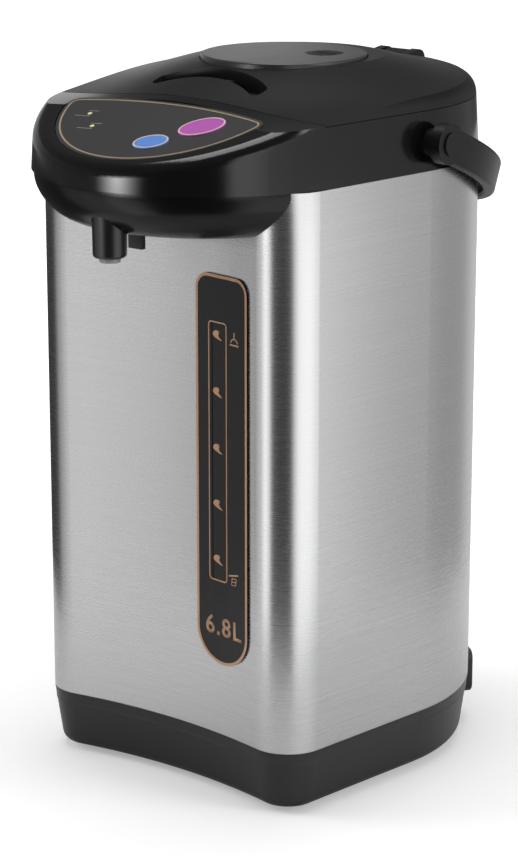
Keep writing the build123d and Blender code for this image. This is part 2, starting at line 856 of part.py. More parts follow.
with BuildPart() as head_housing:
    add(nose_form(0, nose_edge_radius))
    with BuildSketch(level(lid_seam_z)):
        add(behind_lid_front(-lid_gap))
    extrude(amount=120.0, mode=Mode.SUBTRACT)
    # well for the lid
    with BuildSketch(level(deck_z + deck_thick)):
        add(head_outline(5.0))
        add(behind_lid_front(-lid_gap), mode=Mode.INTERSECT)
    extrude(amount=30.0, mode=Mode.SUBTRACT)
    with BuildSketch(level(deck_z - 2.0)):
        Circle(throat_radius + throat_wall + joint_gap)
    extrude(amount=10.0, mode=Mode.SUBTRACT)
    # seat of the hinge bracket
    with BuildSketch(level(deck_z + deck_thick)):
        with Locations((0, hinge_y - 3.0)):
            Rectangle(2 * hinge_block_half + 2 * joint_gap, 24.6)
    extrude(amount=20.0, mode=Mode.SUBTRACT)

with BuildPart() as nose_hollow:
    # one hollow: up to the nose skin in front, up to the deck behind the lid's front edge
    add(nose_form(plastic_wall, nose_edge_radius - plastic_wall))
    with BuildSketch(level(deck_z)):
        add(behind_lid_front(-lid_gap - plastic_wall))
    extrude(amount=150.0, mode=Mode.SUBTRACT)

with BuildPart() as head_done:
    add(head_housing.part)
    add(nose_hollow.part, mode=Mode.SUBTRACT)
    # sunk bed of the control panel
    with BuildSketch(nose_plane(fascia_bed)):
        add(fascia_outline(-joint_gap))
    extrude(amount=6.0, mode=Mode.SUBTRACT)
    with BuildSketch(nose_plane(board_depth)):
        with Locations(board_posts):
            Circle(board_post_thick)
    extrude(amount=board_depth - fascia_bed - 0.2)
    with BuildSketch(nose_plane(4.0)):
        add(control_holes(joint_gap))
    extrude(amount=8.0, mode=Mode.SUBTRACT)
    # handle pivot seats
    for side in (1, -1):
        with BuildSketch(side_plane(side * (seat_x - 9.6))):
            with Locations((pivot_y, pivot_z)):
                Circle(pivot_radius)
        extrude(amount=side * 30.0, mode=Mode.SUBTRACT)
        with BuildSketch(side_plane(side * seat_x)):
            with Locations((pivot_y, pivot_z)):
                Circle(seat_radius)
        extrude(amount=side * 20.0, mode=Mode.SUBTRACT)

lever_pin_radius = 1.5
chin_cut_z = head_bottom_z - 37.9
lever_pin_half = 12.0
lever_half = 5.0
lever_eye_radius = 3.6
lever_thick = 3.0
with BuildPart() as head_chin:
    add(chin_form(0))
    with BuildSketch(level(chin_cut_z)):
        add(body_outline(-joint_gap))
    extrude(amount=60.0, mode=Mode.SUBTRACT)
    add(chin_form(plastic_wall), mode=Mode.SUBTRACT)
    for side in (1, -1):
        with BuildSketch(level(lever_pivot_z - 6.5)):
            with Locations((side * 7.7, lever_y)):
                Rectangle(3.0, 8.0)
        extrude(amount=10.5)
    with BuildSketch(side_plane(-lever_pin_half)):
        with Locations((lever_y, lever_pivot_z)):
            Circle(lever_pin_radius)
    extrude(amount=2 * lever_pin_half, mode=Mode.SUBTRACT)
    with BuildSketch(level(chin_cut_z)):
        with Locations((0, nozzle_y)):
            Circle(nozzle_radius + 0.1)
    extrude(amount=40.0, mode=Mode.SUBTRACT)
    with BuildSketch(level(chin_cut_z)):
        with Locations((0, lever_y + 1.5)):
            Rectangle(11.2, 11.0)
    extrude(amount=14.0, mode=Mode.SUBTRACT)

with BuildPart() as throat_ring:
    with BuildSketch(level(pot_rim_z)):
        Circle(throat_radius + throat_wall)
    extrude(amount=deck_z + deck_thick - pot_rim_z)
    with BuildSketch(level(deck_z + deck_thick)):
        Circle(throat_radius + 10.0)
        with Locations((0, hinge_y - 3.0)):
            Rectangle(34.0, 26.0, mode=Mode.SUBTRACT)
    extrude(amount=1.5)
    with BuildSketch(level(pot_rim_z - 1.0)):
        Circle(throat_radius)
    extrude(amount=50.0, mode=Mode.SUBTRACT)

# soft ring that closes the gap between the pot's lip and the throat
rim_seal_thick = 3.0
rim_seal_fit = 0.1
with BuildPart() as rim_seal:
    with BuildSketch(level(pot_rim_z)):
        Circle(pot_radius + pot_lip)
        Circle(throat_radius + throat_wall + rim_seal_fit, mode=Mode.SUBTRACT)
    extrude(amount=rim_seal_thick)

with BuildPart() as control_fascia:
    with BuildSketch(nose_plane(fascia_bed)):
        add(fascia_outline(0))
        add(control_holes(joint_gap), mode=Mode.SUBTRACT)
    extrude(amount=fascia_bed - fascia_depth)


button_sink = 5.6
button_proud = 0.1
button_edge_radius = 0.5
button_flange = 1.5
button_flange_thick = 1.4


def button(spot):
    """One oval button with a flange that keeps it in."""
    u, v, half_long, half_short, turn = spot
    with BuildPart() as cap:
        with BuildSketch(nose_plane(button_sink)):
            with Locations(Location((u, v), turn)):
                Ellipse(half_long, half_short)
        extrude(amount=button_sink + button_proud)
        fillet(cap.faces().sort_by(Axis.Z)[-1].edges(), button_edge_radius)
        with BuildSketch(nose_plane(button_sink)):
            with Locations(Location((u, v), turn)):
                Ellipse(half_long + button_flange, half_short + button_flange)
        extrude(amount=button_flange_thick)
    return cap.part


with BuildPart() as button_boil:
    add(button(button_spots[0]))

with BuildPart() as button_dispense:
    add(button(button_spots[1]))

with BuildPart() as indicator_lenses:
    with BuildSketch(nose_plane(board_depth)):
        with Locations(lens_spots):
            Circle(lens_radius)
    extrude(amount=board_depth - 0.4)

control_board_length = 96.0
control_board_width = 44.0
with BuildPart() as control_board:
    with BuildSketch(nose_plane(board_depth + board_thick)):
        with Locations((0, -25.0)):
            Rectangle(control_board_length, control_board_width)
    extrude(amount=board_thick)
    with BuildSketch(nose_plane(board_depth)):
        for u, v, half_long, half_short, turn in button_spots:
            with Locations((u, v)):
                Rectangle(6.0, 6.0)
    extrude(amount=2.7)

with BuildPart() as cup_lever:
    with BuildSketch(side_plane(-lever_half)):
        with Locations((lever_y, lever_pivot_z)):
            Circle(lever_eye_radius)
        with Locations((lever_y, (lever_pivot_z + lever_low_z) / 2)):
            Rectangle(lever_thick, lever_pivot_z - lever_low_z)
        with Locations((lever_y, lever_pivot_z)):
            Circle(lever_pin_radius + running_fit, mode=Mode.SUBTRACT)
    extrude(amount=2 * lever_half)

with BuildPart() as lever_pin:
    with BuildSketch(side_plane(-9.4)):
        with Locations((lever_y, lever_pivot_z)):
            Circle(lever_pin_radius)
    extrude(amount=18.8)

with BuildPart() as lever_switch:
    with BuildSketch(level(lever_pivot_z - 5.6)):
        with Locations((0, lever_y + 14.0)):
            Rectangle(14.0, 8.0)
    extrude(amount=11.0)

# ---------------------------------------------------------------- hinge
hinge_boss_radius = 6.0
hinge_foot = 15.0
tongue_radius = 5.4
tongue_thick = 6.0
with BuildPart() as hinge_bracket:
    with BuildSketch(side_plane(-hinge_block_half)):
        with BuildLine():
            Polyline(
                (hinge_y - hinge_foot, deck_z + deck_thick),
                (hinge_y + hinge_boss_radius, deck_z + deck_thick),
                (hinge_y + hinge_boss_radius, hinge_z),
            )
            ThreePointArc(
                (hinge_y + hinge_boss_radius, hinge_z),
                (
                    hinge_y + hinge_boss_radius * cos(radians(45)),
                    hinge_z + hinge_boss_radius * sin(radians(45)),
                ),
                (hinge_y, hinge_z + hinge_boss_radius),
            )
            Polyline(
                (hinge_y, hinge_z + hinge_boss_radius),
                (hinge_y - 11.0, hinge_z + 4.5),
                (hinge_y - hinge_foot, hinge_z),
                (hinge_y - hinge_foot, deck_z + deck_thick),
            )
        make_face()
    extrude(amount=2 * hinge_block_half)
    with BuildSketch(side_plane(-hinge_slot_half)):
        with Locations((hinge_y, hinge_z + 2.5)):
            Rectangle(44.0, 19.0)
    extrude(amount=2 * hinge_slot_half, mode=Mode.SUBTRACT)
    with BuildSketch(side_plane(-20.0)):
        with Locations((hinge_y, hinge_z)):
            Circle(hinge_pin_radius)
    extrude(amount=40.0, mode=Mode.SUBTRACT)

with BuildPart() as hinge_pin:
    with BuildSketch(side_plane(-hinge_block_half)):
        with Locations((hinge_y, hinge_z)):
            Circle(hinge_pin_radius)
    extrude(amount=2 * hinge_block_half)

# ---------------------------------------------------------------- lid
lid_outer = lid_solid(0)
lid_hollow = lid_solid(plastic_wall)

well_wall = 1.8
with BuildPart() as lid_ribs:
    # walls of the pump well, the finger recess and the hinge end, before trimming to the lid
    with BuildSketch(level(lid_seam_z + 1.0)):
        with Locations((0, dome_y)):
            Circle(well_radius + well_wall)
    extrude(amount=40.0)
    with BuildSketch(level(recess_floor_z - 2.0)):
        add(crescent(well_wall))
    extrude(amount=40.0)
    with BuildSketch(level(lid_seam_z)):
        with Locations((0, hinge_y - 7.0)):
            Rectangle(36.0, 26.0)
    extrude(amount=40.0)
    add(lid_outer, mode=Mode.INTERSECT)

with BuildPart() as lid_shell:
    add(lid_outer)
    add(lid_hollow, mode=Mode.SUBTRACT)
    add(lid_ribs.part)
    with BuildSketch(level(lid_seam_z - 5.0)):
        with Locations((0, dome_y)):
            Circle(well_radius)
    extrude(amount=60.0, mode=Mode.SUBTRACT)
    with BuildSketch(level(recess_floor_z)):
        add(crescent(0))
    extrude(amount=40.0, mode=Mode.SUBTRACT)
    # slot for the latch tab and window for the latch nose
    with BuildSketch(level(recess_floor_z - 4.0)):
        with Locations((0, recess_rear_y - 4.1)):
            Rectangle(20.8, 6.8)
    extrude(amount=10.0, mode=Mode.SUBTRACT)
    with BuildSketch(level(lid_seam_z + 1.5)):
        with Locations((0, lid_front_y)):
            Rectangle(16.8, 8.0)
    extrude(amount=4.2, mode=Mode.SUBTRACT)
    # room for the hinge block
    with BuildSketch(level(lid_seam_z - 5.0)):
        with Locations((0, hinge_y - 16.0 + 20.0)):
            Rectangle(2 * hinge_block_half + 1.2, 40.0)
    extrude(amount=40.0, mode=Mode.SUBTRACT)
    with BuildSketch(level(lid_seam_z - 5.0)):
        with Locations((0, hinge_y + 5.0)):
            Rectangle(70.0, 20.0)
    extrude(amount=6.6, mode=Mode.SUBTRACT)
    # hinge tongue
    with BuildSketch(side_plane(-tongue_half)):
        with Locations((hinge_y - 10.0, hinge_z - 0.6)):
            Rectangle(20.0, tongue_thick)
        with Locations((hinge_y, hinge_z)):
            Circle(tongue_radius)
        with Locations((hinge_y, hinge_z)):
            Circle(hinge_pin_radius + running_fit, mode=Mode.SUBTRACT)
    extrude(amount=2 * tongue_half)

with BuildPart() as lid_inner_cover:
    plate_z = deck_z + deck_thick + 4.0
    with BuildSketch(level(plate_z)):
        add(head_outline(6.5))
        add(behind_lid_front(3.0), mode=Mode.INTERSECT)
    extrude(amount=7.0)
    with BuildSketch(level(plate_z + plastic_wall)):
        add(head_outline(8.5))
        add(behind_lid_front(5.0), mode=Mode.INTERSECT)
    extrude(amount=20.0, mode=Mode.SUBTRACT)
    with BuildSketch(level(plug_bottom_z)):
        Circle(plug_radius)
    extrude(amount=plate_z - plug_bottom_z)
    with BuildSketch(level(plug_bottom_z + plastic_wall)):
        Circle(plug_radius - plastic_wall)
    extrude(amount=40.0, mode=Mode.SUBTRACT)
    with BuildSketch(level(plug_bottom_z + plastic_wall)):
        with Locations((0, dome_y)):
            Circle(36.0)
            Circle(34.0, mode=Mode.SUBTRACT)
    extrude(amount=3.0)
    with BuildSketch(level(plate_z - 1.0)):
        with Locations((0, hinge_y - 17.0 + 20.0)):
            Rectangle(2 * hinge_block_half + 2.0, 40.0)
    extrude(amount=40.0, mode=Mode.SUBTRACT)
    # the rim stays under the lid's skin
    add(dome_solid(plastic_wall + joint_gap), mode=Mode.INTERSECT)
    # room for the latch and for the hinge end of the lid
    with BuildSketch(level(lid_seam_z - 0.4)):
        with Locations((0, lid_front_y + 4.0)):
            Rectangle(30.0, 9.0)
        with Locations((0, hinge_y - 0.6)):
            Rectangle(37.0, 40.0)
    extrude(amount=40.0, mode=Mode.SUBTRACT)

with BuildPart() as lid_gasket:
    with BuildSketch(level(deck_z + deck_thick + 1.5)):
        Circle(throat_radius + 6.0)
        Circle(throat_radius + 1.0, mode=Mode.SUBTRACT)
    extrude(amount=2.5)

latch_front_y = lid_front_y + 3.4
latch_nose_reach = 0.9
latch_rear_y = recess_rear_y - 5.7
with BuildPart() as lid_latch:
    with BuildSketch(level(lid_seam_z + 2.0)):
        with Locations((0, (latch_front_y + latch_rear_y) / 2)):
            Rectangle(28.0, latch_rear_y - latch_front_y)
        with Locations((0, latch_front_y)):
            Rectangle(16.0, 2 * latch_nose_reach)
    extrude(amount=3.2)
    with BuildSketch(level(lid_seam_z + 4.0)):
        with Locations((0, recess_rear_y - 6.5)):
            Rectangle(20.0, 1.8)
    extrude(amount=10.0)

disc_edge_radius = 1.2
with BuildPart() as press_disc:
    with BuildSketch(level(disc_skirt_z)):
        with Locations((0, dome_y)):
            Circle(disc_radius)
    extrude(amount=disc_top_z - disc_skirt_z)
    fillet(press_disc.faces().sort_by(Axis.Z)[-1].edges(), disc_edge_radius)
    with BuildSketch(level(disc_skirt_z)):
        with Locations((0, dome_y)):
            Circle(disc_radius - plastic_wall)
    extrude(amount=disc_top_z - disc_thick - disc_skirt_z, mode=Mode.SUBTRACT)
    with BuildSketch(level(disc_top_z - disc_thick)):
        with Locations((vent_x, vent_y)):
            Circle(vent_radius)
    extrude(amount=5.0, mode=Mode.SUBTRACT)

vent_slot_pitch = 3.0
vent_slot_count = 6
vent_slot_length = 15.0
vent_slot_width = 1.5
with BuildPart() as vent_grille:
    with BuildSketch(level(disc_top_z - disc_thick)):
        with Locations((vent_x, vent_y)):
            Circle(vent_radius)
    extrude(amount=disc_thick - 0.3)
    with BuildSketch(level(disc_top_z - disc_thick)):
        with Locations((vent_x, vent_y)):
            with GridLocations(0, vent_slot_pitch, 1, vent_slot_count):
                SlotOverall(vent_slot_length, vent_slot_width)
    extrude(amount=6.0, mode=Mode.SUBTRACT)

bellows_low_z = plug_bottom_z + plastic_wall
bellows_high_z = disc_top_z - disc_thick
fold_count = 7
bellows_outer = 30.0
bellows_inner = 26.0
bellows_wall = 1.2
with BuildPart() as bellows:
    fold = (bellows_high_z - bellows_low_z) / fold_count
    wave = [
        (bellows_outer if step % 2 else bellows_inner, bellows_low_z + step * fold / 2)
        for step in range(2 * fold_count + 1)
    ]
    wall = [(radius - bellows_wall, height) for radius, height in reversed(wave)]
    with BuildSketch(Plane(origin=(0, pot_y + dome_y, 0), x_dir=(0, 1, 0), z_dir=(1, 0, 0))):
        with BuildLine():
            Polyline(*wave, *wall, close=True)
        make_face()
    revolve(axis=Axis((0, pot_y + dome_y, 0), (0, 0, 1)))

coil_radius = 20.0
coil_turns = 5
wire_radius = 0.9
coil_height = bellows_high_z - bellows_low_z - 2 * wire_radius - 0.4
with BuildPart() as disc_spring:
    with BuildLine() as coil_run:
        Helix(
            pitch=coil_height / coil_turns,
            height=coil_height,
            radius=coil_radius,
            center=(0, pot_y + dome_y, bellows_low_z + wire_radius + 0.2),
        )
    with BuildSketch(Plane(coil_run.line @ 0, z_dir=coil_run.line % 0)):
        Circle(wire_radius)
    sweep(path=coil_run.line)

# ---------------------------------------------------------------- handle
handle_turn = radians(handle_tilt)
handle_plane = Plane(
    origin=(0, pot_y + pivot_y, pivot_z),
    x_dir=(1, 0, 0),
    z_dir=(0, sin(handle_turn), cos(handle_turn)),
)
handle_outer = handle_inner + handle_thick
handle_centre = -pivot_y / cos(handle_turn)
handle_eye_radius = 11.5
handle_edge_radius = 2.4
stud_head_radius = 6.5
stud_head_thick = 0.9
stud_inner_x = shell_radius - 9.6
with BuildPart() as carry_handle:
    with BuildSketch(handle_plane.offset(-handle_height / 2)):
        with Locations((0, handle_centre)):
            Ellipse(handle_outer, handle_outer / cos(handle_turn))
            Ellipse(handle_inner, handle_inner / cos(handle_turn), mode=Mode.SUBTRACT)
        with Locations((0, handle_centre - 100.0)):
            Rectangle(400.0, 200.0, mode=Mode.SUBTRACT)
        with Locations((handle_inner + handle_thick / 2, handle_centre / 2)):
            Rectangle(handle_thick, handle_centre)
        with Locations((-handle_inner - handle_thick / 2, handle_centre / 2)):
            Rectangle(handle_thick, handle_centre)
    extrude(amount=handle_height)
    fillet([edge for edge in carry_handle.edges() if edge.length > 150.0], handle_edge_radius)
    for side in (1, -1):
        with BuildSketch(side_plane(side * handle_inner)):
            with Locations((pivot_y, pivot_z)):
                Circle(handle_eye_radius)
        extrude(amount=side * handle_thick)
        with BuildSketch(side_plane(side * handle_inner)):
            with Locations((pivot_y, pivot_z)):
                Circle(pivot_radius + running_fit)
        extrude(amount=side * handle_thick, mode=Mode.SUBTRACT)

with BuildPart() as handle_pivots:
    for side in (1, -1):
        with BuildSketch(side_plane(side * stud_inner_x)):
            with Locations((pivot_y, pivot_z)):
                Circle(pivot_radius)
        extrude(amount=side * (handle_outer + joint_gap + stud_head_thick - stud_inner_x))
        with BuildSketch(side_plane(side * seat_x)):
            with Locations((pivot_y, pivot_z)):
                Circle(seat_radius)
        extrude(amount=side * (handle_inner - joint_gap - seat_x))
        with BuildSketch(side_plane(side * (handle_outer + joint_gap))):
            with Locations((pivot_y, pivot_z)):
                Circle(stud_head_radius)
        extrude(amount=side * stud_head_thick)

# ---------------------------------------------------------------- files
pieces = {
    "base_housing": base_housing,
    "base_cover": base_cover,
    "base_screws": base_screws,
    "rubber_feet": rubber_feet,
    "power_inlet": power_inlet,
    "inlet_pins": inlet_pins,
    "power_board": power_board,
    "outer_shell": outer_shell,
    "inner_pot": inner_pot,
    "boil_heater": boil_heater,
    "keep_warm_band": keep_warm_band,
    "thermostat": thermostat,
    "thermal_fuse": thermal_fuse,
    "gauge_panel": gauge_panel,
    "gauge_window": gauge_window,
    "gauge_tube": gauge_tube,
    "pump_housing": pump_housing,
    "pump_impeller": pump_impeller,
    "pump_motor": pump_motor,
    "motor_rotor": motor_rotor,
    "drain_hose": drain_hose,
    "riser_hose": riser_hose,
    "spout_pipe": spout_pipe,
    "nozzle_outer": nozzle_outer,
    "nozzle_inner": nozzle_inner,
    "head_housing": head_done,
    "head_chin": head_chin,
    "throat_ring": throat_ring,
    "rim_seal": rim_seal,
    "control_fascia": control_fascia,
    "button_boil": button_boil,
    "button_dispense": button_dispense,
    "indicator_lenses": indicator_lenses,
    "control_board": control_board,
    "cup_lever": cup_lever,
    "lever_pin": lever_pin,
    "lever_switch": lever_switch,
    "hinge_bracket": hinge_bracket,
    "hinge_pin": hinge_pin,
    "lid_shell": lid_shell,
    "lid_inner_cover": lid_inner_cover,
    "lid_gasket": lid_gasket,
    "lid_latch": lid_latch,
    "press_disc": press_disc,
    "vent_grille": vent_grille,
    "bellows": bellows,
    "disc_spring": disc_spring,
    "carry_handle": carry_handle,
    "handle_pivots": handle_pivots,
}
for node, piece in pieces.items():
    piece.part.label = node
    export_step(piece.part, "parts/" + node + ".step")
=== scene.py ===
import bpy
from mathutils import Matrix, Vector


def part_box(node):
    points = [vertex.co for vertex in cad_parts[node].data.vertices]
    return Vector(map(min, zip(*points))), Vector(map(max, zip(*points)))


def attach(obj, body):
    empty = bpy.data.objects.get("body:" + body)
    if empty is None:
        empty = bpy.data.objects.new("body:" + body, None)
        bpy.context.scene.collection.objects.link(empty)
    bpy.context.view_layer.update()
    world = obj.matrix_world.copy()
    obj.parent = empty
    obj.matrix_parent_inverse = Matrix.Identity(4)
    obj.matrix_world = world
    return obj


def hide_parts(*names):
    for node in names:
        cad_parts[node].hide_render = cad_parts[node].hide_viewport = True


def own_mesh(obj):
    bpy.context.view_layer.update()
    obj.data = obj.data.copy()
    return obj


bl_info = {
    "name": "Thermo Pot Finish",
    "version": (1, 0, 0),
    "blender": (4, 2, 0),
    "location": "3D View > Sidebar > Thermo Pot",
    "description": "Finishes, printed marks and studio for an electric thermo pot",
    "category": "Object",
}

import math

import bmesh
import bpy
from bpy.props import FloatProperty, FloatVectorProperty, IntProperty, PointerProperty
from bpy.types import Operator, Panel, PropertyGroup
from mathutils import Vector

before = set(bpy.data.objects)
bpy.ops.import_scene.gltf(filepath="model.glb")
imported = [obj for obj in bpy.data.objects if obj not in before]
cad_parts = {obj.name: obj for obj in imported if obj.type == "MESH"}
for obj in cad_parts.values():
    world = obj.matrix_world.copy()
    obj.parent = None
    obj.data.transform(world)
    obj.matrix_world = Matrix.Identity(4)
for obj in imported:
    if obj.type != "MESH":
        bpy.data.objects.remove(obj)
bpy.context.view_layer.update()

# ---------------------------------------------------------------- places
# the prints are placed in millimetres, and the rest in metres; the pot's axis is at POT_Y
MM = 0.001
SHELL_RADIUS = 0.1076
POT_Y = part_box("outer_shell")[1].y - SHELL_RADIUS
PRINT_SINK = 0.05

# the concave steel front is an arc about an upright line in front of the pot
FRONT_REACH = 340.0
FRONT_MIDDLE_Y = -113.0

# the gauge panel stands on the front, and its window lies a little lower
PANEL_LIFT = 1.2
WINDOW_LIFT = 0.9
PANEL_SHAPE = dict(x=43.0, low=81.0, high=307.0, width=41.0, top_radius=9.0, bottom_radius=20.3)
WINDOW_SHAPE = dict(x=39.6, low=130.4, high=280.6, width=14.6, top_radius=2.4, bottom_radius=2.4)
MARK_X = 39.3
FIRST_MARK_Z = 142.6
NUMERAL_X = 43.7
NUMERAL_Z = 98.4
NUMERAL_SPACING = 1.13
NUMERAL_BOLD = 0.26
FONT_SHARE = 1.545

# the top of the nose is a plane that rises toward the lid, and the control panel lies in it
NOSE_SLOPE = math.atan(0.35)
NOSE_Y = -110.0
NOSE_Z = 394.15
FASCIA_DEPTH = 0.6
FASCIA_HALF = 71.0
FASCIA_END = -1.5
FASCIA_REAR = 7.0
FASCIA_FRONT = -57.0
FASCIA_TIP = 7.0
RIM_INSET = 0.35
RIM_RISE = 0.10

# the vent of the hand pump disc
VENT_X = 20.0
VENT_Y = 3.0
VENT_RING_RADII = (11.45, 10.5)
VENT_RING_Z = 413.6
VENT_RING_SINK = 0.2
VENT_RING_RISE = 0.5
RIB_SIZE = (15.5, 0.8, 0.5)
RIB_Z = 413.75
RIB_COUNT = 7

# the soft insides of the hand pump, in metres
BELLOWS_FOLDS = 7
BELLOWS_SIDES = 96
BELLOWS_WALL = 0.0012
BELLOWS_CLEARANCE = 0.00015
FOLD_DEPTH = 0.004
WIRE_RADIUS = 0.0009
WIRE_SIDES = 10
SPRING_COILS = 5
COIL_STEPS = 60

# the studio, in metres; a direction is in degrees from the front toward +X
FLOOR_RADIUS = 30.0
FLOOR_DROP = 0.0004
GLOW_NEAR, GLOW_FAR = 0.25, 1.3
GLOW_LEAST, GLOW_MOST = 0.34, 1.0
SKY_LEVEL = 0.12
TENT_REACH = 0.40
TENT_STEPS = 120
TENT_FULL = 2.0
TENT_BREAK_Z = 0.32
TENT_TOP_Z = 0.50
CAMERA_PLACE = (1.0059, -1.2652, 0.6313)
CAMERA_TILT = 74.55
CAMERA_TURN = 39.2
CAMERA_LENS = 116.1


# ---------------------------------------------------------------- sizes and colours
def length(name, text, default):
    """A length in millimetres that a user may change."""
    return FloatProperty(name=name, description=text, default=default, min=0.0, precision=2)


def colour(name, text, default):
    """A colour that a user may change."""
    return FloatVectorProperty(
        name=name, description=text, default=default, size=3, subtype="COLOR", min=0.0, max=1.0
    )


class ThermoPotSizes(PropertyGroup):
    border_width: length("Gauge border", "Width of the copper border of the gauge panel, mm", 1.7)
    window_line: length("Window line", "Width of the copper line round the gauge window, mm", 0.75)
    print_height: length("Print height", "Thickness of the printed marks, mm", 0.12)
    mark_spacing: length("Mark spacing", "Distance between two level marks, mm", 32.5)
    mark_width: length("Mark width", "Width of one level mark, mm", 7.6)
    numeral_height: length("Numeral height", "Height of the capacity numeral, mm", 10.0)
    fascia_line: length("Fascia line", "Width of the line round the control panel, mm", 1.05)
    fascia_margin: length("Fascia margin", "Distance of that line from the panel's edge, mm", 1.9)
    button_rim: length("Button rim", "Width of the pale rim of a button, mm", 0.9)
    louvre_pitch: length("Louvre pitch", "Distance between two ribs of the vent, mm", 2.3)
    level_marks: IntProperty(
        name="Level marks", description="Number of level marks in the gauge", default=5, min=1
    )


class ThermoPotColours(PropertyGroup):
    gloss_black: colour("Gloss black", "Head and nose", (0.0050, 0.0050, 0.0054))
    satin_black: colour("Satin black", "Lid and handle", (0.0085, 0.0085, 0.0090))
    base_black: colour("Base black", "Foot moulding", (0.0120, 0.0120, 0.0125))
    disc_grey: colour("Disc grey", "Hand pump disc", (0.036, 0.036, 0.038))
    steel: colour("Steel", "Brushed steel jacket", (0.56, 0.56, 0.565))
    bright_steel: colour("Bright steel", "Inner pot and pins", (0.66, 0.66, 0.67))
    copper: colour("Copper", "Borders and marks of the gauge", (0.52, 0.30, 0.18))
    gold: colour("Gold", "Line round the control panel", (0.50, 0.39, 0.26))
    fascia: colour("Fascia", "Control panel", (0.032, 0.031, 0.033))
    gauge_dark: colour("Gauge dark", "Gauge panel", (0.0035, 0.0035, 0.0038))
    gauge_light: colour("Gauge light", "Fine stripes of the gauge panel", (0.014, 0.014, 0.014))
    button_blue: colour("Blue", "Boil button", (0.10, 0.24, 0.62))
    button_purple: colour("Purple", "Dispense button", (0.42, 0.09, 0.40))
    rim_cream: colour("Cream", "Rims of the buttons", (0.66, 0.50, 0.44))
    lamp_yellow: colour("Lamp yellow", "Indicator lenses", (0.60, 0.58, 0.30))
    floor: colour("Floor", "Studio floor", (0.80, 0.80, 0.80))


# ---------------------------------------------------------------- finishes
# all in metres, or copies of a pattern in a metre
STRIPE_PITCH = 0.00135
MOTTLE_SCALE = 35.0
GRAIN_SCALE = 900.0
GRAIN_DISTANCE = 0.0002
STREAK_DISTANCE = 0.0001


def new_finish(name):
    """A node material with its shader and its tree."""
    material = bpy.data.materials.new(name)
    material.use_nodes = True
    tree = material.node_tree
    return material, tree, tree.nodes["Principled BSDF"]


def object_noise(tree, scale, stretch=(1.0, 1.0, 1.0), detail=3.0):
    """A noise pattern fixed to the piece."""
    place = tree.nodes.new("ShaderNodeTexCoord")
    mapping = tree.nodes.new("ShaderNodeMapping")
    mapping.inputs["Scale"].default_value = stretch
    noise = tree.nodes.new("ShaderNodeTexNoise")
    noise.inputs["Scale"].default_value = scale
    noise.inputs["Detail"].default_value = detail
    noise.inputs["Roughness"].default_value = 0.55
    tree.links.new(place.outputs["Object"], mapping.inputs["Vector"])
    tree.links.new(mapping.outputs["Vector"], noise.inputs["Vector"])
    return noise.outputs["Fac"]


def spread(tree, factor, low, high):
    """A pattern's 0 to 1 turned into low to high."""
    span = tree.nodes.new("ShaderNodeMapRange")
    span.inputs["To Min"].default_value = low
    span.inputs["To Max"].default_value = high
    tree.links.new(factor, span.inputs["Value"])
    return span.outputs["Result"]


def tint(tree, factor, first, second):
    """Two colours mixed by a pattern."""
    mix = tree.nodes.new("ShaderNodeMix")
    mix.data_type = "RGBA"
    mix.inputs[6].default_value = (*first, 1.0)
    mix.inputs[7].default_value = (*second, 1.0)
    tree.links.new(factor, mix.inputs[0])
    return mix.outputs[2]


def relief(tree, shader, height, strength, distance):
    """A fine surface relief."""
    bump = tree.nodes.new("ShaderNodeBump")
    bump.inputs["Strength"].default_value = strength
    bump.inputs["Distance"].default_value = distance
    tree.links.new(height, bump.inputs["Height"])
    tree.links.new(bump.outputs["Normal"], shader.inputs["Normal"])


def moulded(name, base, roughness, depth=0.04, specular=0.5):
    """Moulded plastic: a flat colour with a faint mottle and a fine grain."""
    material, tree, shader = new_finish(name)
    mottle = object_noise(tree, MOTTLE_SCALE)
    darker = tuple(channel * 0.9 for channel in base)
    lighter = tuple(min(1.0, channel * 1.1) for channel in base)
    tree.links.new(tint(tree, mottle, darker, lighter), shader.inputs["Base Color"])
    tree.links.new(
        spread(tree, object_noise(tree, 60.0), roughness * 0.92, roughness * 1.08),
        shader.inputs["Roughness"],
    )
    relief(tree, shader, object_noise(tree, GRAIN_SCALE), depth, GRAIN_DISTANCE)
    shader.inputs["Specular IOR Level"].default_value = specular
    return material


def brushed(name, base, roughness, stretch, depth):
    """Satin metal with a grain drawn out along one direction."""
    material, tree, shader = new_finish(name)
    streaks = object_noise(tree, 1.0, stretch, detail=2.0)
    darker = tuple(channel * 0.94 for channel in base)
    lighter = tuple(min(1.0, channel * 1.04) for channel in base)
    tree.links.new(tint(tree, streaks, darker, lighter), shader.inputs["Base Color"])
    tree.links.new(
        spread(tree, streaks, roughness * 0.9, roughness * 1.1), shader.inputs["Roughness"]
    )
    relief(tree, shader, streaks, depth, STREAK_DISTANCE)
    shader.inputs["Metallic"].default_value = 1.0
    return material


def printed(name, base, roughness=0.42, metallic=0.0):
    """Printed ink or foil with a slightly uneven lay."""
    material, tree, shader = new_finish(name)
    uneven = object_noise(tree, 420.0)
    darker = tuple(channel * 0.88 for channel in base)
    lighter = tuple(min(1.0, channel * 1.1) for channel in base)
    tree.links.new(tint(tree, uneven, darker, lighter), shader.inputs["Base Color"])
    shader.inputs["Roughness"].default_value = roughness
    shader.inputs["Metallic"].default_value = metallic
    return material


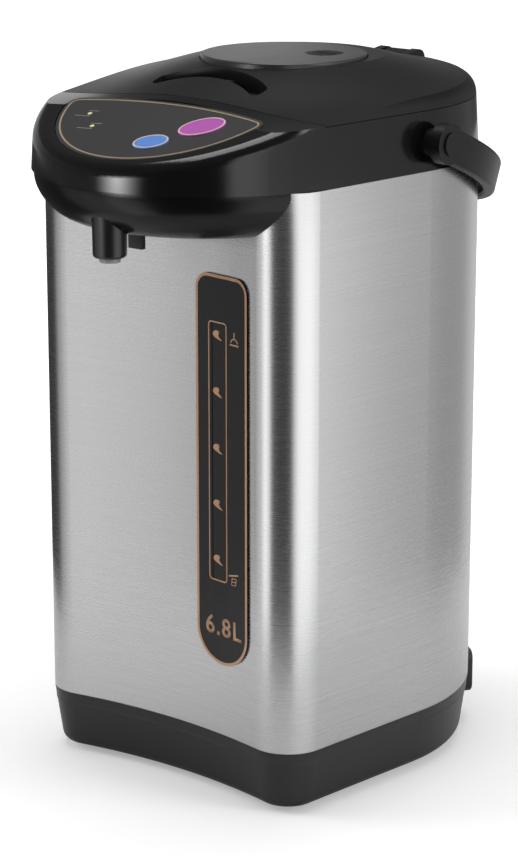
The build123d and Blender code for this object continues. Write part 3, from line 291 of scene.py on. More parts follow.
def striped(name, dark, light, pitch):
    """Dark printed sheet with fine upright stripes."""
    material, tree, shader = new_finish(name)
    place = tree.nodes.new("ShaderNodeTexCoord")
    wave = tree.nodes.new("ShaderNodeTexWave")
    wave.wave_type = "BANDS"
    wave.bands_direction = "X"
    # bands of scale s repeat every 2 pi / (20 s)
    wave.inputs["Scale"].default_value = 2.0 * math.pi / (20.0 * pitch)
    wave.inputs["Distortion"].default_value = 0.0
    tree.links.new(place.outputs["Object"], wave.inputs["Vector"])
    tree.links.new(tint(tree, wave.outputs["Fac"], dark, light), shader.inputs["Base Color"])
    tree.links.new(
        spread(tree, object_noise(tree, 80.0), 0.20, 0.28), shader.inputs["Roughness"]
    )
    shader.inputs["Specular IOR Level"].default_value = 0.3
    return material


def glazed(name, base, roughness, transmission):
    """Clear or tinted plastic."""
    material, tree, shader = new_finish(name)
    tree.links.new(
        tint(tree, object_noise(tree, 30.0), tuple(c * 0.96 for c in base), base),
        shader.inputs["Base Color"],
    )
    shader.inputs["Roughness"].default_value = roughness
    shader.inputs["Transmission Weight"].default_value = transmission
    shader.inputs["IOR"].default_value = 1.46
    return material


def lit_lens(name, base, strength):
    """Indicator lens with a weak glow."""
    material, tree, shader = new_finish(name)
    glow = tint(tree, object_noise(tree, 600.0), tuple(c * 0.8 for c in base), base)
    tree.links.new(glow, shader.inputs["Base Color"])
    tree.links.new(glow, shader.inputs["Emission Color"])
    shader.inputs["Emission Strength"].default_value = strength
    shader.inputs["Roughness"].default_value = 0.25
    return material


def paint(finish, *names):
    """Gives one finish to CAD nodes or pieces."""
    for name in names:
        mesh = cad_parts[name].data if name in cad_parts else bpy.data.objects[name].data
        mesh.materials.clear()
        mesh.materials.append(finish)


# ---------------------------------------------------------------- shapes
def on_front(x, z, lift):
    """A point of the concave front, in millimetres across and up."""
    reach = FRONT_REACH - lift
    y = FRONT_MIDDLE_Y - FRONT_REACH + math.sqrt(reach * reach - x * x)
    return Vector((x * MM, y * MM + POT_Y, z * MM))


def on_nose(u, v, lift):
    """A point of the nose top, in millimetres across and up the slope."""
    y = NOSE_Y + v * math.cos(NOSE_SLOPE) - lift * math.sin(NOSE_SLOPE)
    z = NOSE_Z + v * math.sin(NOSE_SLOPE) + lift * math.cos(NOSE_SLOPE)
    return Vector((u * MM, y * MM + POT_Y, z * MM))


def on_level(z):
    """A placing function for a level face at height z, in millimetres."""
    def place(x, y, lift):
        return Vector((x * MM, y * MM + POT_Y, (z + lift) * MM))

    return place


def circle_points(centre, radius, start, end, steps):
    """Points of an arc, angles in radians."""
    return [
        (
            centre[0] + radius * math.cos(start + (end - start) * i / steps),
            centre[1] + radius * math.sin(start + (end - start) * i / steps),
        )
        for i in range(steps + 1)
    ]


def rounded_box(x, low, high, width, top_radius, bottom_radius, inset=0.0, side_steps=24):
    """Outline of an upright panel with its own top and bottom corner radii."""
    half = width / 2 - inset
    top = top_radius - inset
    bottom = bottom_radius - inset
    up = high - inset
    down = low + inset
    quarter = math.pi / 2
    points = circle_points((x + half - bottom, down + bottom), bottom, -quarter, 0.0, 12)
    span = (up - top) - (down + bottom)
    points += [(x + half, down + bottom + span * i / side_steps) for i in range(1, side_steps)]
    points += circle_points((x + half - top, up - top), top, 0.0, quarter, 12)
    points += circle_points((x - half + top, up - top), top, quarter, 2 * quarter, 12)
    points += [(x - half, up - top - span * i / side_steps) for i in range(1, side_steps)]
    points += circle_points(
        (x - half + bottom, down + bottom), bottom, 2 * quarter, 3 * quarter, 12
    )
    return points


def ellipse_points(u, v, half_long, half_short, turn, steps=64):
    """Outline of a turned ellipse."""
    points = []
    for i in range(steps):
        angle = 2 * math.pi * i / steps
        a = half_long * math.cos(angle)
        b = half_short * math.sin(angle)
        across = a * math.cos(turn) - b * math.sin(turn)
        along = a * math.sin(turn) + b * math.cos(turn)
        points.append((u + across, v + along))
    return points


def arc_circle(half, end_height, middle_height):
    """Centre height and radius of the circle through two ends and a middle."""
    rise = middle_height - end_height
    radius = (half * half + rise * rise) / (2 * abs(rise))
    centre = middle_height - math.copysign(radius, rise)
    return centre, radius


def crescent_points(inset):
    """Outline of the control panel, drawn in by inset."""
    rear = FASCIA_REAR / math.cos(NOSE_SLOPE)
    front = FASCIA_FRONT / math.cos(NOSE_SLOPE)
    upper, upper_radius = arc_circle(FASCIA_HALF, FASCIA_END, rear)
    lower, lower_radius = arc_circle(FASCIA_HALF, FASCIA_END, front)
    # a tip's centre is as far inside both arcs as its own radius
    reach_up = upper_radius - FASCIA_TIP
    reach_low = lower_radius - FASCIA_TIP
    v = (reach_up**2 - reach_low**2 - upper**2 + lower**2) / (2 * (lower - upper))
    u = math.sqrt(reach_low**2 - (v - lower) ** 2)
    to_up = math.atan2(v - upper, u)
    to_low = math.atan2(v - lower, u)
    tip = FASCIA_TIP - inset
    points = circle_points((u, v), tip, to_low, to_up, 12)
    points += circle_points((0, upper), upper_radius - inset, to_up, math.pi - to_up, 48)[1:]
    points += circle_points((-u, v), tip, math.pi - to_up, math.pi - to_low, 12)[1:]
    points += circle_points(
        (0, lower), lower_radius - inset, math.pi - to_low, 2 * math.pi + to_low, 64
    )[1:-1]
    return points


def placed(name, data):
    """An object in the scene that holds this mesh, curve, light or camera."""
    thing = bpy.data.objects.new(name, data)
    bpy.context.scene.collection.objects.link(thing)
    return thing


def solid(name, bm):
    """An object in the scene made of a bmesh, which is used up."""
    mesh = bpy.data.meshes.new(name)
    bm.to_mesh(mesh)
    bm.free()
    return placed(name, mesh)


def finish_mesh(bm, name, finish, body):
    """Turns a bmesh into a piece that rides on a body."""
    bmesh.ops.remove_doubles(bm, verts=bm.verts, dist=1e-7)
    bmesh.ops.recalc_face_normals(bm, faces=bm.faces)
    piece = solid(name, bm)
    piece.data.materials.append(finish)
    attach(piece, body)
    return piece


def join_rings(bm, rings, closed=False):
    """Faces between rings of as many points, and from the last to the first where closed."""
    following = rings[1:] + rings[:1] if closed else rings[1:]
    for ring, after in zip(rings, following):
        for i in range(len(ring)):
            j = (i + 1) % len(ring)
            bm.faces.new((ring[i], ring[j], after[j], after[i]))


def add_band(bm, outer, inner, place, low, high):
    """A closed flat band between two outlines with as many points."""
    rings = []
    for outline, lift in ((outer, low), (outer, high), (inner, high), (inner, low)):
        rings.append([bm.verts.new(place(a, b, lift)) for a, b in outline])
    join_rings(bm, rings, closed=True)


def add_plate(bm, outline, place, low, high):
    """A closed flat plate with that outline."""
    under = [bm.verts.new(place(a, b, low)) for a, b in outline]
    over = [bm.verts.new(place(a, b, high)) for a, b in outline]
    bm.faces.new(over)
    bm.faces.new(list(reversed(under)))
    join_rings(bm, [under, over])


def add_stroke(bm, points, width, place, low, high):
    """A closed ribbon of even width along an open line."""
    left, right = [], []
    for i, point in enumerate(points):
        before = points[max(i - 1, 0)]
        after = points[min(i + 1, len(points) - 1)]
        run = Vector((after[0] - before[0], after[1] - before[1]))
        run.normalize()
        left.append((point[0] - run.y * width / 2, point[1] + run.x * width / 2))
        right.append((point[0] + run.y * width / 2, point[1] - run.x * width / 2))
    add_plate(bm, right + left[::-1], place, low, high)


def band_piece(name, outer, inner, place, low, high, finish, body):
    """A band as a piece of its own."""
    bm = bmesh.new()
    add_band(bm, outer, inner, place, low, high)
    return finish_mesh(bm, name, finish, body)


# ---------------------------------------------------------------- geometry nodes
def node_group(name, inputs):
    """A Geometry Nodes tree with named inputs; returns the tree and the sockets' identifiers."""
    group = bpy.data.node_groups.new(name, "GeometryNodeTree")
    sockets = {}
    for label, kind, default in inputs:
        socket = group.interface.new_socket(name=label, in_out="INPUT", socket_type=kind)
        if default is not None:
            socket.default_value = default
        sockets[label] = socket.identifier
    group.interface.new_socket(name="Geometry", in_out="OUTPUT", socket_type="NodeSocketGeometry")
    return group, sockets


def line_of_copies(name):
    """Tree: one shape repeated along a straight line."""
    group, sockets = node_group(
        name,
        [
            ("Shape", "NodeSocketObject", None),
            ("Count", "NodeSocketInt", 5),
            ("Step", "NodeSocketVector", (0.0, 0.0, 0.0)),
            ("Finish", "NodeSocketMaterial", None),
        ],
    )
    nodes = group.nodes
    link = group.links.new
    source = nodes.new("NodeGroupInput")
    info = nodes.new("GeometryNodeObjectInfo")
    line = nodes.new("GeometryNodeMeshLine")
    line.mode = "OFFSET"
    copies = nodes.new("GeometryNodeInstanceOnPoints")
    real = nodes.new("GeometryNodeRealizeInstances")
    coat = nodes.new("GeometryNodeSetMaterial")
    sink = nodes.new("NodeGroupOutput")
    link(source.outputs["Shape"], info.inputs["Object"])
    link(source.outputs["Count"], line.inputs["Count"])
    link(source.outputs["Step"], line.inputs["Offset"])
    link(line.outputs["Mesh"], copies.inputs["Points"])
    link(info.outputs["Geometry"], copies.inputs["Instance"])
    link(copies.outputs["Instances"], real.inputs["Geometry"])
    link(real.outputs["Geometry"], coat.inputs["Geometry"])
    link(source.outputs["Finish"], coat.inputs["Material"])
    link(coat.outputs["Geometry"], sink.inputs["Geometry"])
    return group, sockets


def grown_piece(name, group, sockets, values, finish, body):
    """Runs a tree and keeps its result as a plain mesh that rides on a body."""
    carrier = placed(name + "_carrier", bpy.data.meshes.new(name + "_carrier"))
    modifier = carrier.modifiers.new("Grow", "NODES")
    modifier.node_group = group
    for label, value in values.items():
        modifier[sockets[label]] = value
    depsgraph = bpy.context.evaluated_depsgraph_get()
    mesh = bpy.data.meshes.new_from_object(carrier.evaluated_get(depsgraph))
    bpy.data.objects.remove(carrier)
    if not mesh.polygons:
        raise RuntimeError(name + " came out empty")
    mesh.name = name
    mesh.materials.clear()
    mesh.materials.append(finish)
    piece = placed(name, mesh)
    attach(piece, body)
    return piece


def row_of_copies(name, bm, count, step, finish, body):
    """A bmesh repeated along a line, as one piece."""
    bmesh.ops.recalc_face_normals(bm, faces=bm.faces)
    shape = solid(name + "_shape", bm)
    group, sockets = line_of_copies(name)
    values = {"Shape": shape, "Count": count, "Step": step, "Finish": finish}
    piece = grown_piece(name, group, sockets, values, finish, body)
    bpy.data.objects.remove(shape)
    return piece


def sizes():
    """The lengths that a user may change."""
    return bpy.context.scene.thermo_pot_sizes


def tone(name):
    """One of the colours that a user may change."""
    return tuple(getattr(bpy.context.scene.thermo_pot_colours, name))


# ---------------------------------------------------------------- operators
class ThermoPotMouldings(Operator):
    """Finish the head, the lid, the handle and the foot"""

    bl_idname = "thermopot.mouldings"
    bl_label = "Mouldings"

    def execute(self, context):
        gloss = moulded("Gloss black", tone("gloss_black"), 0.16, depth=0.008, specular=0.42)
        paint(gloss, "head_housing")
        # painted shade: the chin is the same gloss black plastic as the head, given a weaker and
        # rougher reflection so that its underside renders darker
        chin = moulded("Chin black", tone("gloss_black"), 0.22, depth=0.008, specular=0.22)
        paint(chin, "head_chin")
        satin = moulded("Satin black", tone("satin_black"), 0.38, depth=0.04, specular=0.26)
        paint(satin, "lid_shell", "hinge_bracket", "carry_handle", "handle_pivots")
        paint(moulded("Base black", tone("base_black"), 0.34, depth=0.04), "base_housing")
        paint(
            moulded("Hidden black", (0.02, 0.02, 0.021), 0.5),
            "base_cover",
            "pump_housing",
            "lid_latch",
            "cup_lever",
            "lever_switch",
        )
        paint(
            moulded("Disc grey", tone("disc_grey"), 0.34, depth=0.03, specular=0.6), "press_disc"
        )
        paint(moulded("Vent black", (0.010, 0.010, 0.011), 0.4), "vent_grille")
        paint(
            moulded("Natural white plastic", (0.62, 0.62, 0.60), 0.42),
            "lid_inner_cover",
            "throat_ring",
        )
        paint(moulded("Black rubber", (0.014, 0.014, 0.015), 0.75, depth=0.08), "rubber_feet")
        paint(
            moulded("Silicone", (0.55, 0.55, 0.53), 0.5),
            "lid_gasket",
            "rim_seal",
            "drain_hose",
            "riser_hose",
            "bellows",
        )
        paint(moulded("Nozzle black", (0.010, 0.010, 0.011), 0.30), "nozzle_outer")
        paint(moulded("Nozzle grey", (0.30, 0.30, 0.30), 0.35), "nozzle_inner")
        paint(moulded("Inlet black", (0.010, 0.010, 0.011), 0.32), "power_inlet")
        return {"FINISHED"}


class ThermoPotMetalwork(Operator):
    """Finish the steel jacket, the pot and the metal fittings"""

    bl_idname = "thermopot.metalwork"
    bl_label = "Metalwork"

    def execute(self, context):
        steel = brushed("Brushed steel", tone("steel"), 0.27, (5.0, 5.0, 3200.0), 0.05)
        paint(steel, "outer_shell")
        bright = brushed("Drawn steel", tone("bright_steel"), 0.22, (8.0, 8.0, 400.0), 0.02)
        paint(bright, "inner_pot", "hinge_pin", "lever_pin", "base_screws", "inlet_pins")
        paint(bright, "disc_spring", "motor_rotor", "thermostat", "boil_heater")
        band = brushed("Heater band", (0.52, 0.46, 0.36), 0.45, (8.0, 8.0, 300.0), 0.02)
        paint(band, "keep_warm_band")
        can = brushed("Motor can", (0.42, 0.42, 0.43), 0.35, (20.0, 20.0, 300.0), 0.02)
        paint(can, "pump_motor")
        paint(moulded("Fuse white", (0.70, 0.68, 0.62), 0.4), "thermal_fuse")
        paint(moulded("Impeller white", (0.64, 0.64, 0.62), 0.35), "pump_impeller")
        paint(moulded("Spout tube", (0.60, 0.60, 0.58), 0.3), "spout_pipe")
        board = moulded("Board green", (0.02, 0.12, 0.05), 0.45)
        paint(board, "power_board", "control_board")
        return {"FINISHED"}


class ThermoPotGauge(Operator):
    """Print the water gauge on the front"""

    bl_idname = "thermopot.gauge"
    bl_label = "Water gauge"

    def borders(self, copper, rise):
        size = sizes()
        outer = rounded_box(**PANEL_SHAPE)
        inner = rounded_box(**PANEL_SHAPE, inset=size.border_width)
        low, high = PANEL_LIFT - PRINT_SINK, PANEL_LIFT + rise
        border = band_piece("gauge_border", outer, inner, on_front, low, high, copper, "base")
        outer = rounded_box(**WINDOW_SHAPE)
        inner = rounded_box(**WINDOW_SHAPE, inset=size.window_line)
        low = WINDOW_LIFT - PRINT_SINK
        line = band_piece("window_line", outer, inner, on_front, low, high, copper, "base")

    def marks(self, copper, rise):
        """One level mark, a drop with a bite, repeated up the window."""
        size = sizes()
        half = size.mark_width / 2
        drop = [
            (-1.0, 0.06), (-0.92, 0.42), (-0.64, 0.68), (-0.20, 0.78), (0.26, 0.70), (0.30, 0.36),
            (0.16, 0.08), (0.36, -0.22), (1.0, -0.66), (0.40, -0.62), (-0.16, -0.42),
            (-0.66, -0.24),
        ]
        outline = [(MARK_X + half * a, FIRST_MARK_Z + half * b) for a, b in drop]
        bm = bmesh.new()
        add_plate(bm, outline, on_front, WINDOW_LIFT - PRINT_SINK, WINDOW_LIFT + rise)
        step = (0.0, 0.0, size.mark_spacing * MM)
        marks = row_of_copies("level_marks", bm, size.level_marks, step, copper, "base")

    def signs(self, copper, rise):
        """The full and low signs beside the window, as strokes and their widths."""
        bm = bmesh.new()
        strokes = [
            ([(53.0, 276.6), (53.0, 273.2)], 0.8),
            (circle_points((53.0, 270.2), 2.7, 0.15, math.pi - 0.15, 12), 0.7),
            ([(49.4, 269.4), (56.6, 269.4)], 0.9),
            ([(48.2, 135.6), (56.0, 137.4)], 0.9),
            ([(50.9, 134.6), (50.4, 130.6), (53.8, 130.9), (54.4, 134.9), (50.9, 134.6)], 0.6),
            ([(50.7, 132.6), (54.1, 132.9)], 0.5),
        ]
        for points, width in strokes:
            add_stroke(bm, points, width, on_front, PANEL_LIFT - PRINT_SINK, PANEL_LIFT + rise)
        signs = finish_mesh(bm, "level_signs", copper, "base")

    def numeral(self, copper, rise):
        """The capacity, bent onto the front."""
        curve = bpy.data.curves.new("capacity_numeral", "FONT")
        curve.body = "6.8L"
        curve.size = sizes().numeral_height * FONT_SHARE
        curve.space_character = NUMERAL_SPACING
        curve.align_x = "CENTER"
        curve.offset = NUMERAL_BOLD
        curve.resolution_u = 3
        flat_text = placed("capacity_text", curve)
        depsgraph = bpy.context.evaluated_depsgraph_get()
        mesh = bpy.data.meshes.new_from_object(flat_text.evaluated_get(depsgraph))
        bpy.data.objects.remove(flat_text)
        bm = bmesh.new()
        bm.from_mesh(mesh)
        bpy.data.meshes.remove(mesh)
        bmesh.ops.remove_doubles(bm, verts=bm.verts, dist=1e-4)
        raised = bmesh.ops.extrude_face_region(bm, geom=bm.faces[:])
        upper = {v for v in raised["geom"] if isinstance(v, bmesh.types.BMVert)}
        for vert in bm.verts:
            lift = PANEL_LIFT + rise if vert in upper else PANEL_LIFT - PRINT_SINK
            vert.co = on_front(NUMERAL_X + vert.co.x, NUMERAL_Z + vert.co.y, lift)
        numeral = finish_mesh(bm, "capacity_numeral", copper, "base")

    def execute(self, context):
        dark, light = tone("gauge_dark"), tone("gauge_light")
        paint(striped("Gauge sheet", dark, light, STRIPE_PITCH), "gauge_panel", "gauge_window")
        paint(glazed("Gauge tube", (0.85, 0.87, 0.88), 0.08, 0.9), "gauge_tube")
        copper = printed("Copper print", tone("copper"), 0.34, 0.35)
        rise = sizes().print_height
        self.borders(copper, rise)
        self.marks(copper, rise)
        self.signs(copper, rise)
        self.numeral(copper, rise)
        return {"FINISHED"}


class ThermoPotControls(Operator):
    """Finish the control panel, its buttons and its lamps"""

    bl_idname = "thermopot.controls"
    bl_label = "Controls"

    def buttons(self, rise):
        size = sizes()
        cosine = math.cos(NOSE_SLOPE)
        cream = printed("Button rim", tone("rim_cream"), 0.38)
        blue = printed("Button blue", tone("button_blue"), 0.34)
        purple = printed("Button purple", tone("button_purple"), 0.34)
        # body, place across and up the nose, half length and width, turn in degrees, cap, slot
        buttons = (
            ("boil", 17.0, -35.0 / cosine, 10.5, 8.0, 20.0, blue, "button_blue"),
            ("dispense", 35.4, -14.0 / cosine, 13.5, 10.0, 36.0, purple, "button_purple"),
        )
        for word, u, v, half_long, half_short, turn, cap, slot in buttons:
            paint(cap, "button_" + word)
            turned = math.radians(turn)
            long, short = half_long - RIM_INSET, half_short - RIM_INSET
            outer = ellipse_points(u, v, long, short, turned)
            width = size.button_rim
            inner = ellipse_points(u, v, long - width, short - width, turned)
            high = RIM_RISE + rise
            rim = band_piece("rim_" + word, outer, inner, on_nose, 0.0, high, cream, word)

    def lamps(self, low, high):
        """The lenses, and a plain stroke above and below each in place of words."""
        cosine = math.cos(NOSE_SLOPE)
        paint(lit_lens("Indicator lens", tone("lamp_yellow"), 0.35), "indicator_lenses")
        ink = printed("Lamp ink", (0.20, 0.20, 0.17), 0.4)
        bm = bmesh.new()
        # each lens's place across and up the nose; each stroke's drop below it, start and end
        for u, v in ((-45.5, -15.0 / cosine), (-33.0, -27.0 / cosine)):
            for below, start, end in ((3.4, -8.0, 2.0), (-3.2, -3.0, 4.0)):
                line = [(u + start, v - below - 0.5), (u + end, v - below + 0.5)]
                add_stroke(bm, line, 0.7, on_nose, low, high)
        marks = finish_mesh(bm, "lamp_marks", ink, "base")

    def execute(self, context):
        size = sizes()
        paint(moulded("Fascia", tone("fascia"), 0.36, depth=0.02, specular=0.4), "control_fascia")
        gold = printed("Gold line", tone("gold"), 0.32, 0.5)
        rise = size.print_height
        low, high = -FASCIA_DEPTH - PRINT_SINK, -FASCIA_DEPTH + rise
        outer = crescent_points(size.fascia_margin)
        inner = crescent_points(size.fascia_margin + size.fascia_line)
        line = band_piece("fascia_line", outer, inner, on_nose, low, high, gold, "base")
        self.buttons(rise)
        self.lamps(low, high)
        return {"FINISHED"}


class ThermoPotLidTrim(Operator):
    """Fit the ribs and the ring of the vent in the hand pump disc"""

    bl_idname = "thermopot.lid_trim"
    bl_label = "Lid trim"

    def ribs(self):
        pitch = sizes().louvre_pitch
        first_y = VENT_Y - (RIB_COUNT - 1) / 2 * pitch
        long, wide, thick = RIB_SIZE
        bm = bmesh.new()
        bmesh.ops.create_cube(bm, size=1.0)
        for vert in bm.verts:
            x = (VENT_X + vert.co.x * long) * MM
            y = (first_y + vert.co.y * wide) * MM + POT_Y
            z = (RIB_Z + vert.co.z * thick) * MM
            vert.co = Vector((x, y, z))
        satin = bpy.data.materials["Satin black"]
        step = (0.0, pitch * MM, 0.0)
        ribs = row_of_copies("vent_ribs", bm, RIB_COUNT, step, satin, "press")

    def ring(self):
        outer, inner = (ellipse_points(VENT_X, VENT_Y, r, r, 0.0) for r in VENT_RING_RADII)
        pale = printed("Vent ring", (0.055, 0.055, 0.058), 0.4)
        level = on_level(VENT_RING_Z)
        low, high = -VENT_RING_SINK, VENT_RING_RISE
        ring = band_piece("vent_ring", outer, inner, level, low, high, pale, "press")

    def execute(self, context):
        self.ribs()
        self.ring()
        return {"FINISHED"}


class ThermoPotHandPump(Operator):
    """Give the hand pump a bellows and a spring of its own in place of the CAD ones"""

    bl_idname = "thermopot.hand_pump"
    bl_label = "Hand pump"

    def soft(self, bm, name, node, finish, slot):
        """A bmesh as a piece that rides on the lid and stands for a node, which it hides."""
        piece = finish_mesh(bm, name, bpy.data.materials[finish], "lid")
        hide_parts(node)
        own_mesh(piece)

    def bellows(self):
        low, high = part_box("bellows")
        centre_y = (low.y + high.y) / 2
        outer = (high.x - low.x) / 2
        height = high.z - BELLOWS_CLEARANCE - low.z
        half_folds = 2 * BELLOWS_FOLDS
        profile = []
        for step in range(half_folds + 1):
            radius = outer if step % 2 else outer - FOLD_DEPTH
            profile.append((radius, low.z + height * step / half_folds))
        profile += [(radius - BELLOWS_WALL, z) for radius, z in reversed(profile)]
        bm = bmesh.new()
        rings = []
        for i in range(BELLOWS_SIDES):
            turn = 2.0 * math.pi * i / BELLOWS_SIDES
            across, along = math.cos(turn), math.sin(turn)
            rings.append([bm.verts.new((r * across, centre_y + r * along, z)) for r, z in profile])
        join_rings(bm, rings, closed=True)
        self.soft(bm, "bellows_folds", "bellows", "Silicone", "silicone")

    def spring(self):
        low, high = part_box("disc_spring")
        centre_y = (low.y + high.y) / 2
        coil_radius = (high.x - low.x) / 2 - WIRE_RADIUS
        climb = high.z - low.z - 2 * WIRE_RADIUS
        steps = SPRING_COILS * COIL_STEPS
        bm = bmesh.new()
        rings = []
        for i in range(steps + 1):
            turn = 2.0 * math.pi * i / COIL_STEPS
            across, along = math.cos(turn), math.sin(turn)
            middle = (coil_radius, low.z + WIRE_RADIUS + climb * i / steps)
            wire = circle_points(middle, WIRE_RADIUS, 0.0, 2.0 * math.pi, WIRE_SIDES)[:-1]
            rings.append([bm.verts.new((r * across, centre_y + r * along, z)) for r, z in wire])
        join_rings(bm, rings)
        bm.faces.new(rings[0])
        bm.faces.new(list(reversed(rings[-1])))
        for face in bm.faces:
            face.smooth = True
        self.soft(bm, "spring_coils", "disc_spring", "Drawn steel", "part_steel")

    def execute(self, context):
        self.bellows()
        self.spring()
        return {"FINISHED"}


def bare_tree(name):
    """A material whose tree is empty."""
    material = bpy.data.materials.new(name)
    material.use_nodes = True
    material.node_tree.nodes.clear()
    return material, material.node_tree


def arithmetic(tree, operation, first, second):
    """The result of one Math node; each of its two values is a socket or a number."""
    node = tree.nodes.new("ShaderNodeMath")
    node.operation = operation
    for socket, value in zip(node.inputs, (first, second)):
        if isinstance(value, float):
            socket.default_value = value
        else:
            tree.links.new(value, socket)
    return node.outputs[0]


def reflected_only(thing):
    """Keeps a light surface out of every view but a reflection."""
    thing.visible_camera = False
    thing.visible_diffuse = False
    thing.visible_shadow = False
    thing.visible_transmission = False
    thing.visible_volume_scatter = False


class ThermoPotStage(Operator):
    """Set up the floor, the lamps and the camera"""

    bl_idname = "thermopot.stage"
    bl_label = "Studio"

    def floor(self):
        bm = bmesh.new()
        bmesh.ops.create_circle(bm, cap_ends=True, segments=96, radius=FLOOR_RADIUS)
        floor = solid("studio_floor", bm)
        floor.location.z = -FLOOR_DROP
        material, tree, shader = new_finish("Studio floor")
        shader.inputs["Base Color"].default_value = (*tone("floor"), 1.0)
        shader.inputs["Roughness"].default_value = 0.9
        shader.inputs["Specular IOR Level"].default_value = 0.0
        # the glow that keeps the floor white grows with the distance from the pot
        place = tree.nodes.new("ShaderNodeTexCoord")
        reach = tree.nodes.new("ShaderNodeVectorMath")
        reach.operation = "LENGTH"
        tree.links.new(place.outputs["Object"], reach.inputs[0])
        fade = tree.nodes.new("ShaderNodeMapRange")
        fade.interpolation_type = "SMOOTHSTEP"
        fade.inputs["From Min"].default_value = GLOW_NEAR
        fade.inputs["From Max"].default_value = GLOW_FAR
        fade.inputs["To Min"].default_value = GLOW_LEAST
        fade.inputs["To Max"].default_value = GLOW_MOST
        tree.links.new(reach.outputs["Value"], fade.inputs["Value"])
        seen = tree.nodes.new("ShaderNodeLightPath").outputs["Is Camera Ray"]
        glow = arithmetic(tree, "MULTIPLY", seen, fade.outputs["Result"])
        tree.links.new(glow, shader.inputs["Emission Strength"])
        shader.inputs["Emission Color"].default_value = (1.0, 1.0, 1.0, 1.0)
        floor.data.materials.append(material)

    def tent_wall(self, name, low, high, stops):
        """A round screen that only reflections see; stops give its brightness by direction."""
        bm = bmesh.new()
        rows = []
        for z in (low, high):
            row = []
            for i in range(TENT_STEPS):
                turn = 2 * math.pi * i / TENT_STEPS
                x, y = TENT_REACH * math.sin(turn), -TENT_REACH * math.cos(turn)
                row.append(bm.verts.new((x, y, z)))
            rows.append(row)
        join_rings(bm, rows)
        wall = solid(name, bm)
        wall.location.y = POT_Y
        material, tree = bare_tree(name)
        place = tree.nodes.new("ShaderNodeTexCoord")
        split = tree.nodes.new("ShaderNodeSeparateXYZ")
        tree.links.new(place.outputs["Object"], split.inputs[0])
        front = arithmetic(tree, "MULTIPLY", split.outputs["Y"], -1.0)
        turn = arithmetic(tree, "ARCTAN2", split.outputs["X"], front)
        span = tree.nodes.new("ShaderNodeMapRange")
        span.inputs["From Min"].default_value = -math.pi
        span.inputs["From Max"].default_value = math.pi
        tree.links.new(turn, span.inputs["Value"])
        ramp = tree.nodes.new("ShaderNodeValToRGB")
        ramp.color_ramp.interpolation = "EASE"
        points = ramp.color_ramp.elements
        for k, (degrees, level) in enumerate(stops):
            at = (degrees + 180.0) / 360.0
            point = points[k] if k < 2 else points.new(at)
            point.position = at
            grey = level / TENT_FULL
            point.color = (grey, grey, grey, 1.0)
        tree.links.new(span.outputs["Result"], ramp.inputs["Fac"])
        glow = tree.nodes.new("ShaderNodeEmission")
        glow.inputs["Strength"].default_value = TENT_FULL
        tree.links.new(ramp.outputs["Color"], glow.inputs["Color"])
        sink = tree.nodes.new("ShaderNodeOutputMaterial")
        tree.links.new(glow.outputs[0], sink.inputs["Surface"])
        wall.data.materials.append(material)
        reflected_only(wall)

    def card(self, name, turn, z, width, height, reach, level):
        """A small upright light that only reflections see, soft toward its rim."""
        bm = bmesh.new()
        bmesh.ops.create_grid(bm, x_segments=1, y_segments=1, size=0.5)
        card = solid(name, bm)
        angle = math.radians(turn)
        card.location = (reach * math.sin(angle), POT_Y - reach * math.cos(angle), z)
        card.rotation_euler = (math.radians(90.0), 0.0, angle)
        card.scale = (width, height, 1.0)
        material, tree = bare_tree(name)
        place = tree.nodes.new("ShaderNodeTexCoord")
        ball = tree.nodes.new("ShaderNodeTexGradient")
        ball.gradient_type = "QUADRATIC_SPHERE"
        double = tree.nodes.new("ShaderNodeMapping")
        double.inputs["Scale"].default_value = (2.0, 2.0, 2.0)
        tree.links.new(place.outputs["Object"], double.inputs["Vector"])
        tree.links.new(double.outputs["Vector"], ball.inputs["Vector"])
        strength = arithmetic(tree, "MULTIPLY", ball.outputs["Fac"], level)
        glow = tree.nodes.new("ShaderNodeEmission")
        tree.links.new(strength, glow.inputs["Strength"])
        sink = tree.nodes.new("ShaderNodeOutputMaterial")
        tree.links.new(glow.outputs[0], sink.inputs["Surface"])
        card.data.materials.append(material)
        reflected_only(card)

    def lamp(self, name, place, aim, width, height, power):
        """A rectangular lamp that points at aim."""
        light = bpy.data.lights.new(name, "AREA")
        light.shape = "RECTANGLE"
        light.size = width
        light.size_y = height
        light.energy = power
        lamp = placed(name, light)
        lamp.location = place
        lamp.rotation_euler = (Vector(aim) - Vector(place)).to_track_quat("-Z", "Y").to_euler()
        return lamp

    def world(self):
        """A white background for the camera, and a dim one for everything else."""
        world = bpy.data.worlds.new("Studio")
        bpy.context.scene.world = world
        world.use_nodes = True
        tree = world.node_tree
        tree.nodes.clear()
        path = tree.nodes.new("ShaderNodeLightPath")
        mix = tree.nodes.new("ShaderNodeMixShader")
        tree.links.new(path.outputs["Is Camera Ray"], mix.inputs[0])
        for socket, level in zip(mix.inputs[1:], (SKY_LEVEL, 1.0)):
            sky = tree.nodes.new("ShaderNodeBackground")
            sky.inputs["Color"].default_value = (1.0, 1.0, 1.0, 1.0)
            sky.inputs["Strength"].default_value = level
            tree.links.new(sky.outputs[0], socket)
        sink = tree.nodes.new("ShaderNodeOutputWorld")
        tree.links.new(mix.outputs[0], sink.inputs["Surface"])

    def camera(self):
        lens = bpy.data.cameras.new("studio_camera")
        lens.lens = CAMERA_LENS
        lens.sensor_width = 36.0
        lens.clip_end = 100.0
        camera = placed("studio_camera", lens)
        camera.location = CAMERA_PLACE
        camera.location.y += POT_Y
        camera.rotation_euler = (math.radians(CAMERA_TILT), 0.0, math.radians(CAMERA_TURN))
        bpy.context.scene.camera = camera

    def execute(self, context):
        bpy.context.scene.view_settings.view_transform = "Standard"
        self.floor()
        self.world()
        self.camera()
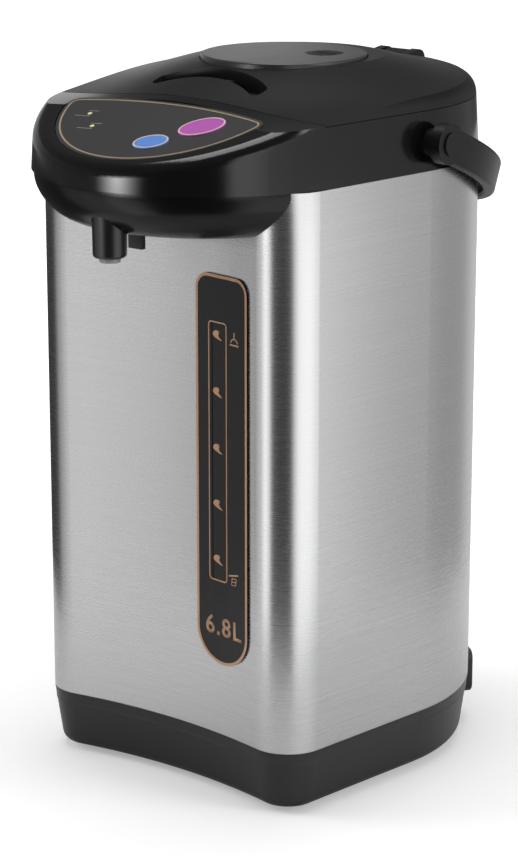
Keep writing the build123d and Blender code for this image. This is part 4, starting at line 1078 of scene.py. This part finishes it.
        # brightness by direction, each as (degrees, level)
        low_stops = (
            (-180, 0.75), (-158, 0.5), (-135, 0.06), (-54, 0.05), (-46, 0.4), (-41, 0.58),
            (-36, 0.5), (-30, 0.86), (-22, 0.82), (-13, 1.95), (-2, 1.4), (6, 0.06), (43, 0.04),
            (49, 1.0), (58, 1.65), (78, 1.6), (104, 1.25), (118, 0.5), (130, 0.44), (156, 0.45),
            (170, 0.7), (180, 0.75),
        )
        high_stops = (
            (-180, 0.12), (-150, 0.3), (-138, 1.0), (-115, 1.0), (-90, 0.5), (-60, 0.2),
            (-10, 0.2), (3, 0.06), (38, 0.06), (46, 2.0), (54, 1.8), (66, 1.0), (84, 0.7),
            (100, 0.6), (130, 0.45), (160, 0.3), (180, 0.12),
        )
        self.tent_wall("tent_low", 0.0, TENT_BREAK_Z, low_stops)
        self.tent_wall("tent_high", TENT_BREAK_Z, TENT_TOP_Z, high_stops)
        self.card(
            "nose_light", turn=-9.0, z=0.355, width=0.19, height=0.13, reach=0.39, level=20.0
        )
        # each lamp as its place, what it points at, its width and height, and its power
        left = self.lamp("lamp_left", (-1.7, -1.1, 1.1), (0.0, 0.0, 0.22), 1.1, 1.6, 24.0)
        left.visible_glossy = False
        self.lamp("lamp_right", (1.9, 0.5, 0.9), (0.0, 0.0, 0.2), 0.9, 1.5, 18.0)
        self.lamp("lamp_top", (-0.1, 0.1, 2.3), (0.0, 0.0, 0.2), 1.5, 1.5, 34.0)
        return {"FINISHED"}


class ThermoPotPanel(Panel):
    """Steps that finish the thermo pot"""

    bl_idname = "VIEW3D_PT_thermo_pot"
    bl_label = "Thermo Pot"
    bl_space_type = "VIEW_3D"
    bl_region_type = "UI"
    bl_category = "Thermo Pot"

    def draw(self, context):
        layout = self.layout
        for holder in (context.scene.thermo_pot_sizes, context.scene.thermo_pot_colours):
            box = layout.box()
            for label in holder.bl_rna.properties.keys():
                if label not in ("rna_type", "name"):
                    box.prop(holder, label)
        for step in STEPS:
            layout.operator(step.bl_idname)


STEPS = (
    ThermoPotMouldings,
    ThermoPotMetalwork,
    ThermoPotGauge,
    ThermoPotControls,
    ThermoPotLidTrim,
    ThermoPotHandPump,
    ThermoPotStage,
)
CLASSES = (ThermoPotSizes, ThermoPotColours, *STEPS, ThermoPotPanel)


def register():
    for cls in CLASSES:
        bpy.utils.register_class(cls)
    bpy.types.Scene.thermo_pot_sizes = PointerProperty(type=ThermoPotSizes)
    bpy.types.Scene.thermo_pot_colours = PointerProperty(type=ThermoPotColours)


def unregister():
    del bpy.types.Scene.thermo_pot_colours
    del bpy.types.Scene.thermo_pot_sizes
    for cls in reversed(CLASSES):
        bpy.utils.unregister_class(cls)


def main():
    register()
    bpy.ops.thermopot.mouldings()
    bpy.ops.thermopot.metalwork()
    bpy.ops.thermopot.gauge()
    bpy.ops.thermopot.controls()
    bpy.ops.thermopot.lid_trim()
    bpy.ops.thermopot.hand_pump()
    bpy.ops.thermopot.stage()
    bpy.context.view_layer.update()


if __name__ == "__main__":
    main()
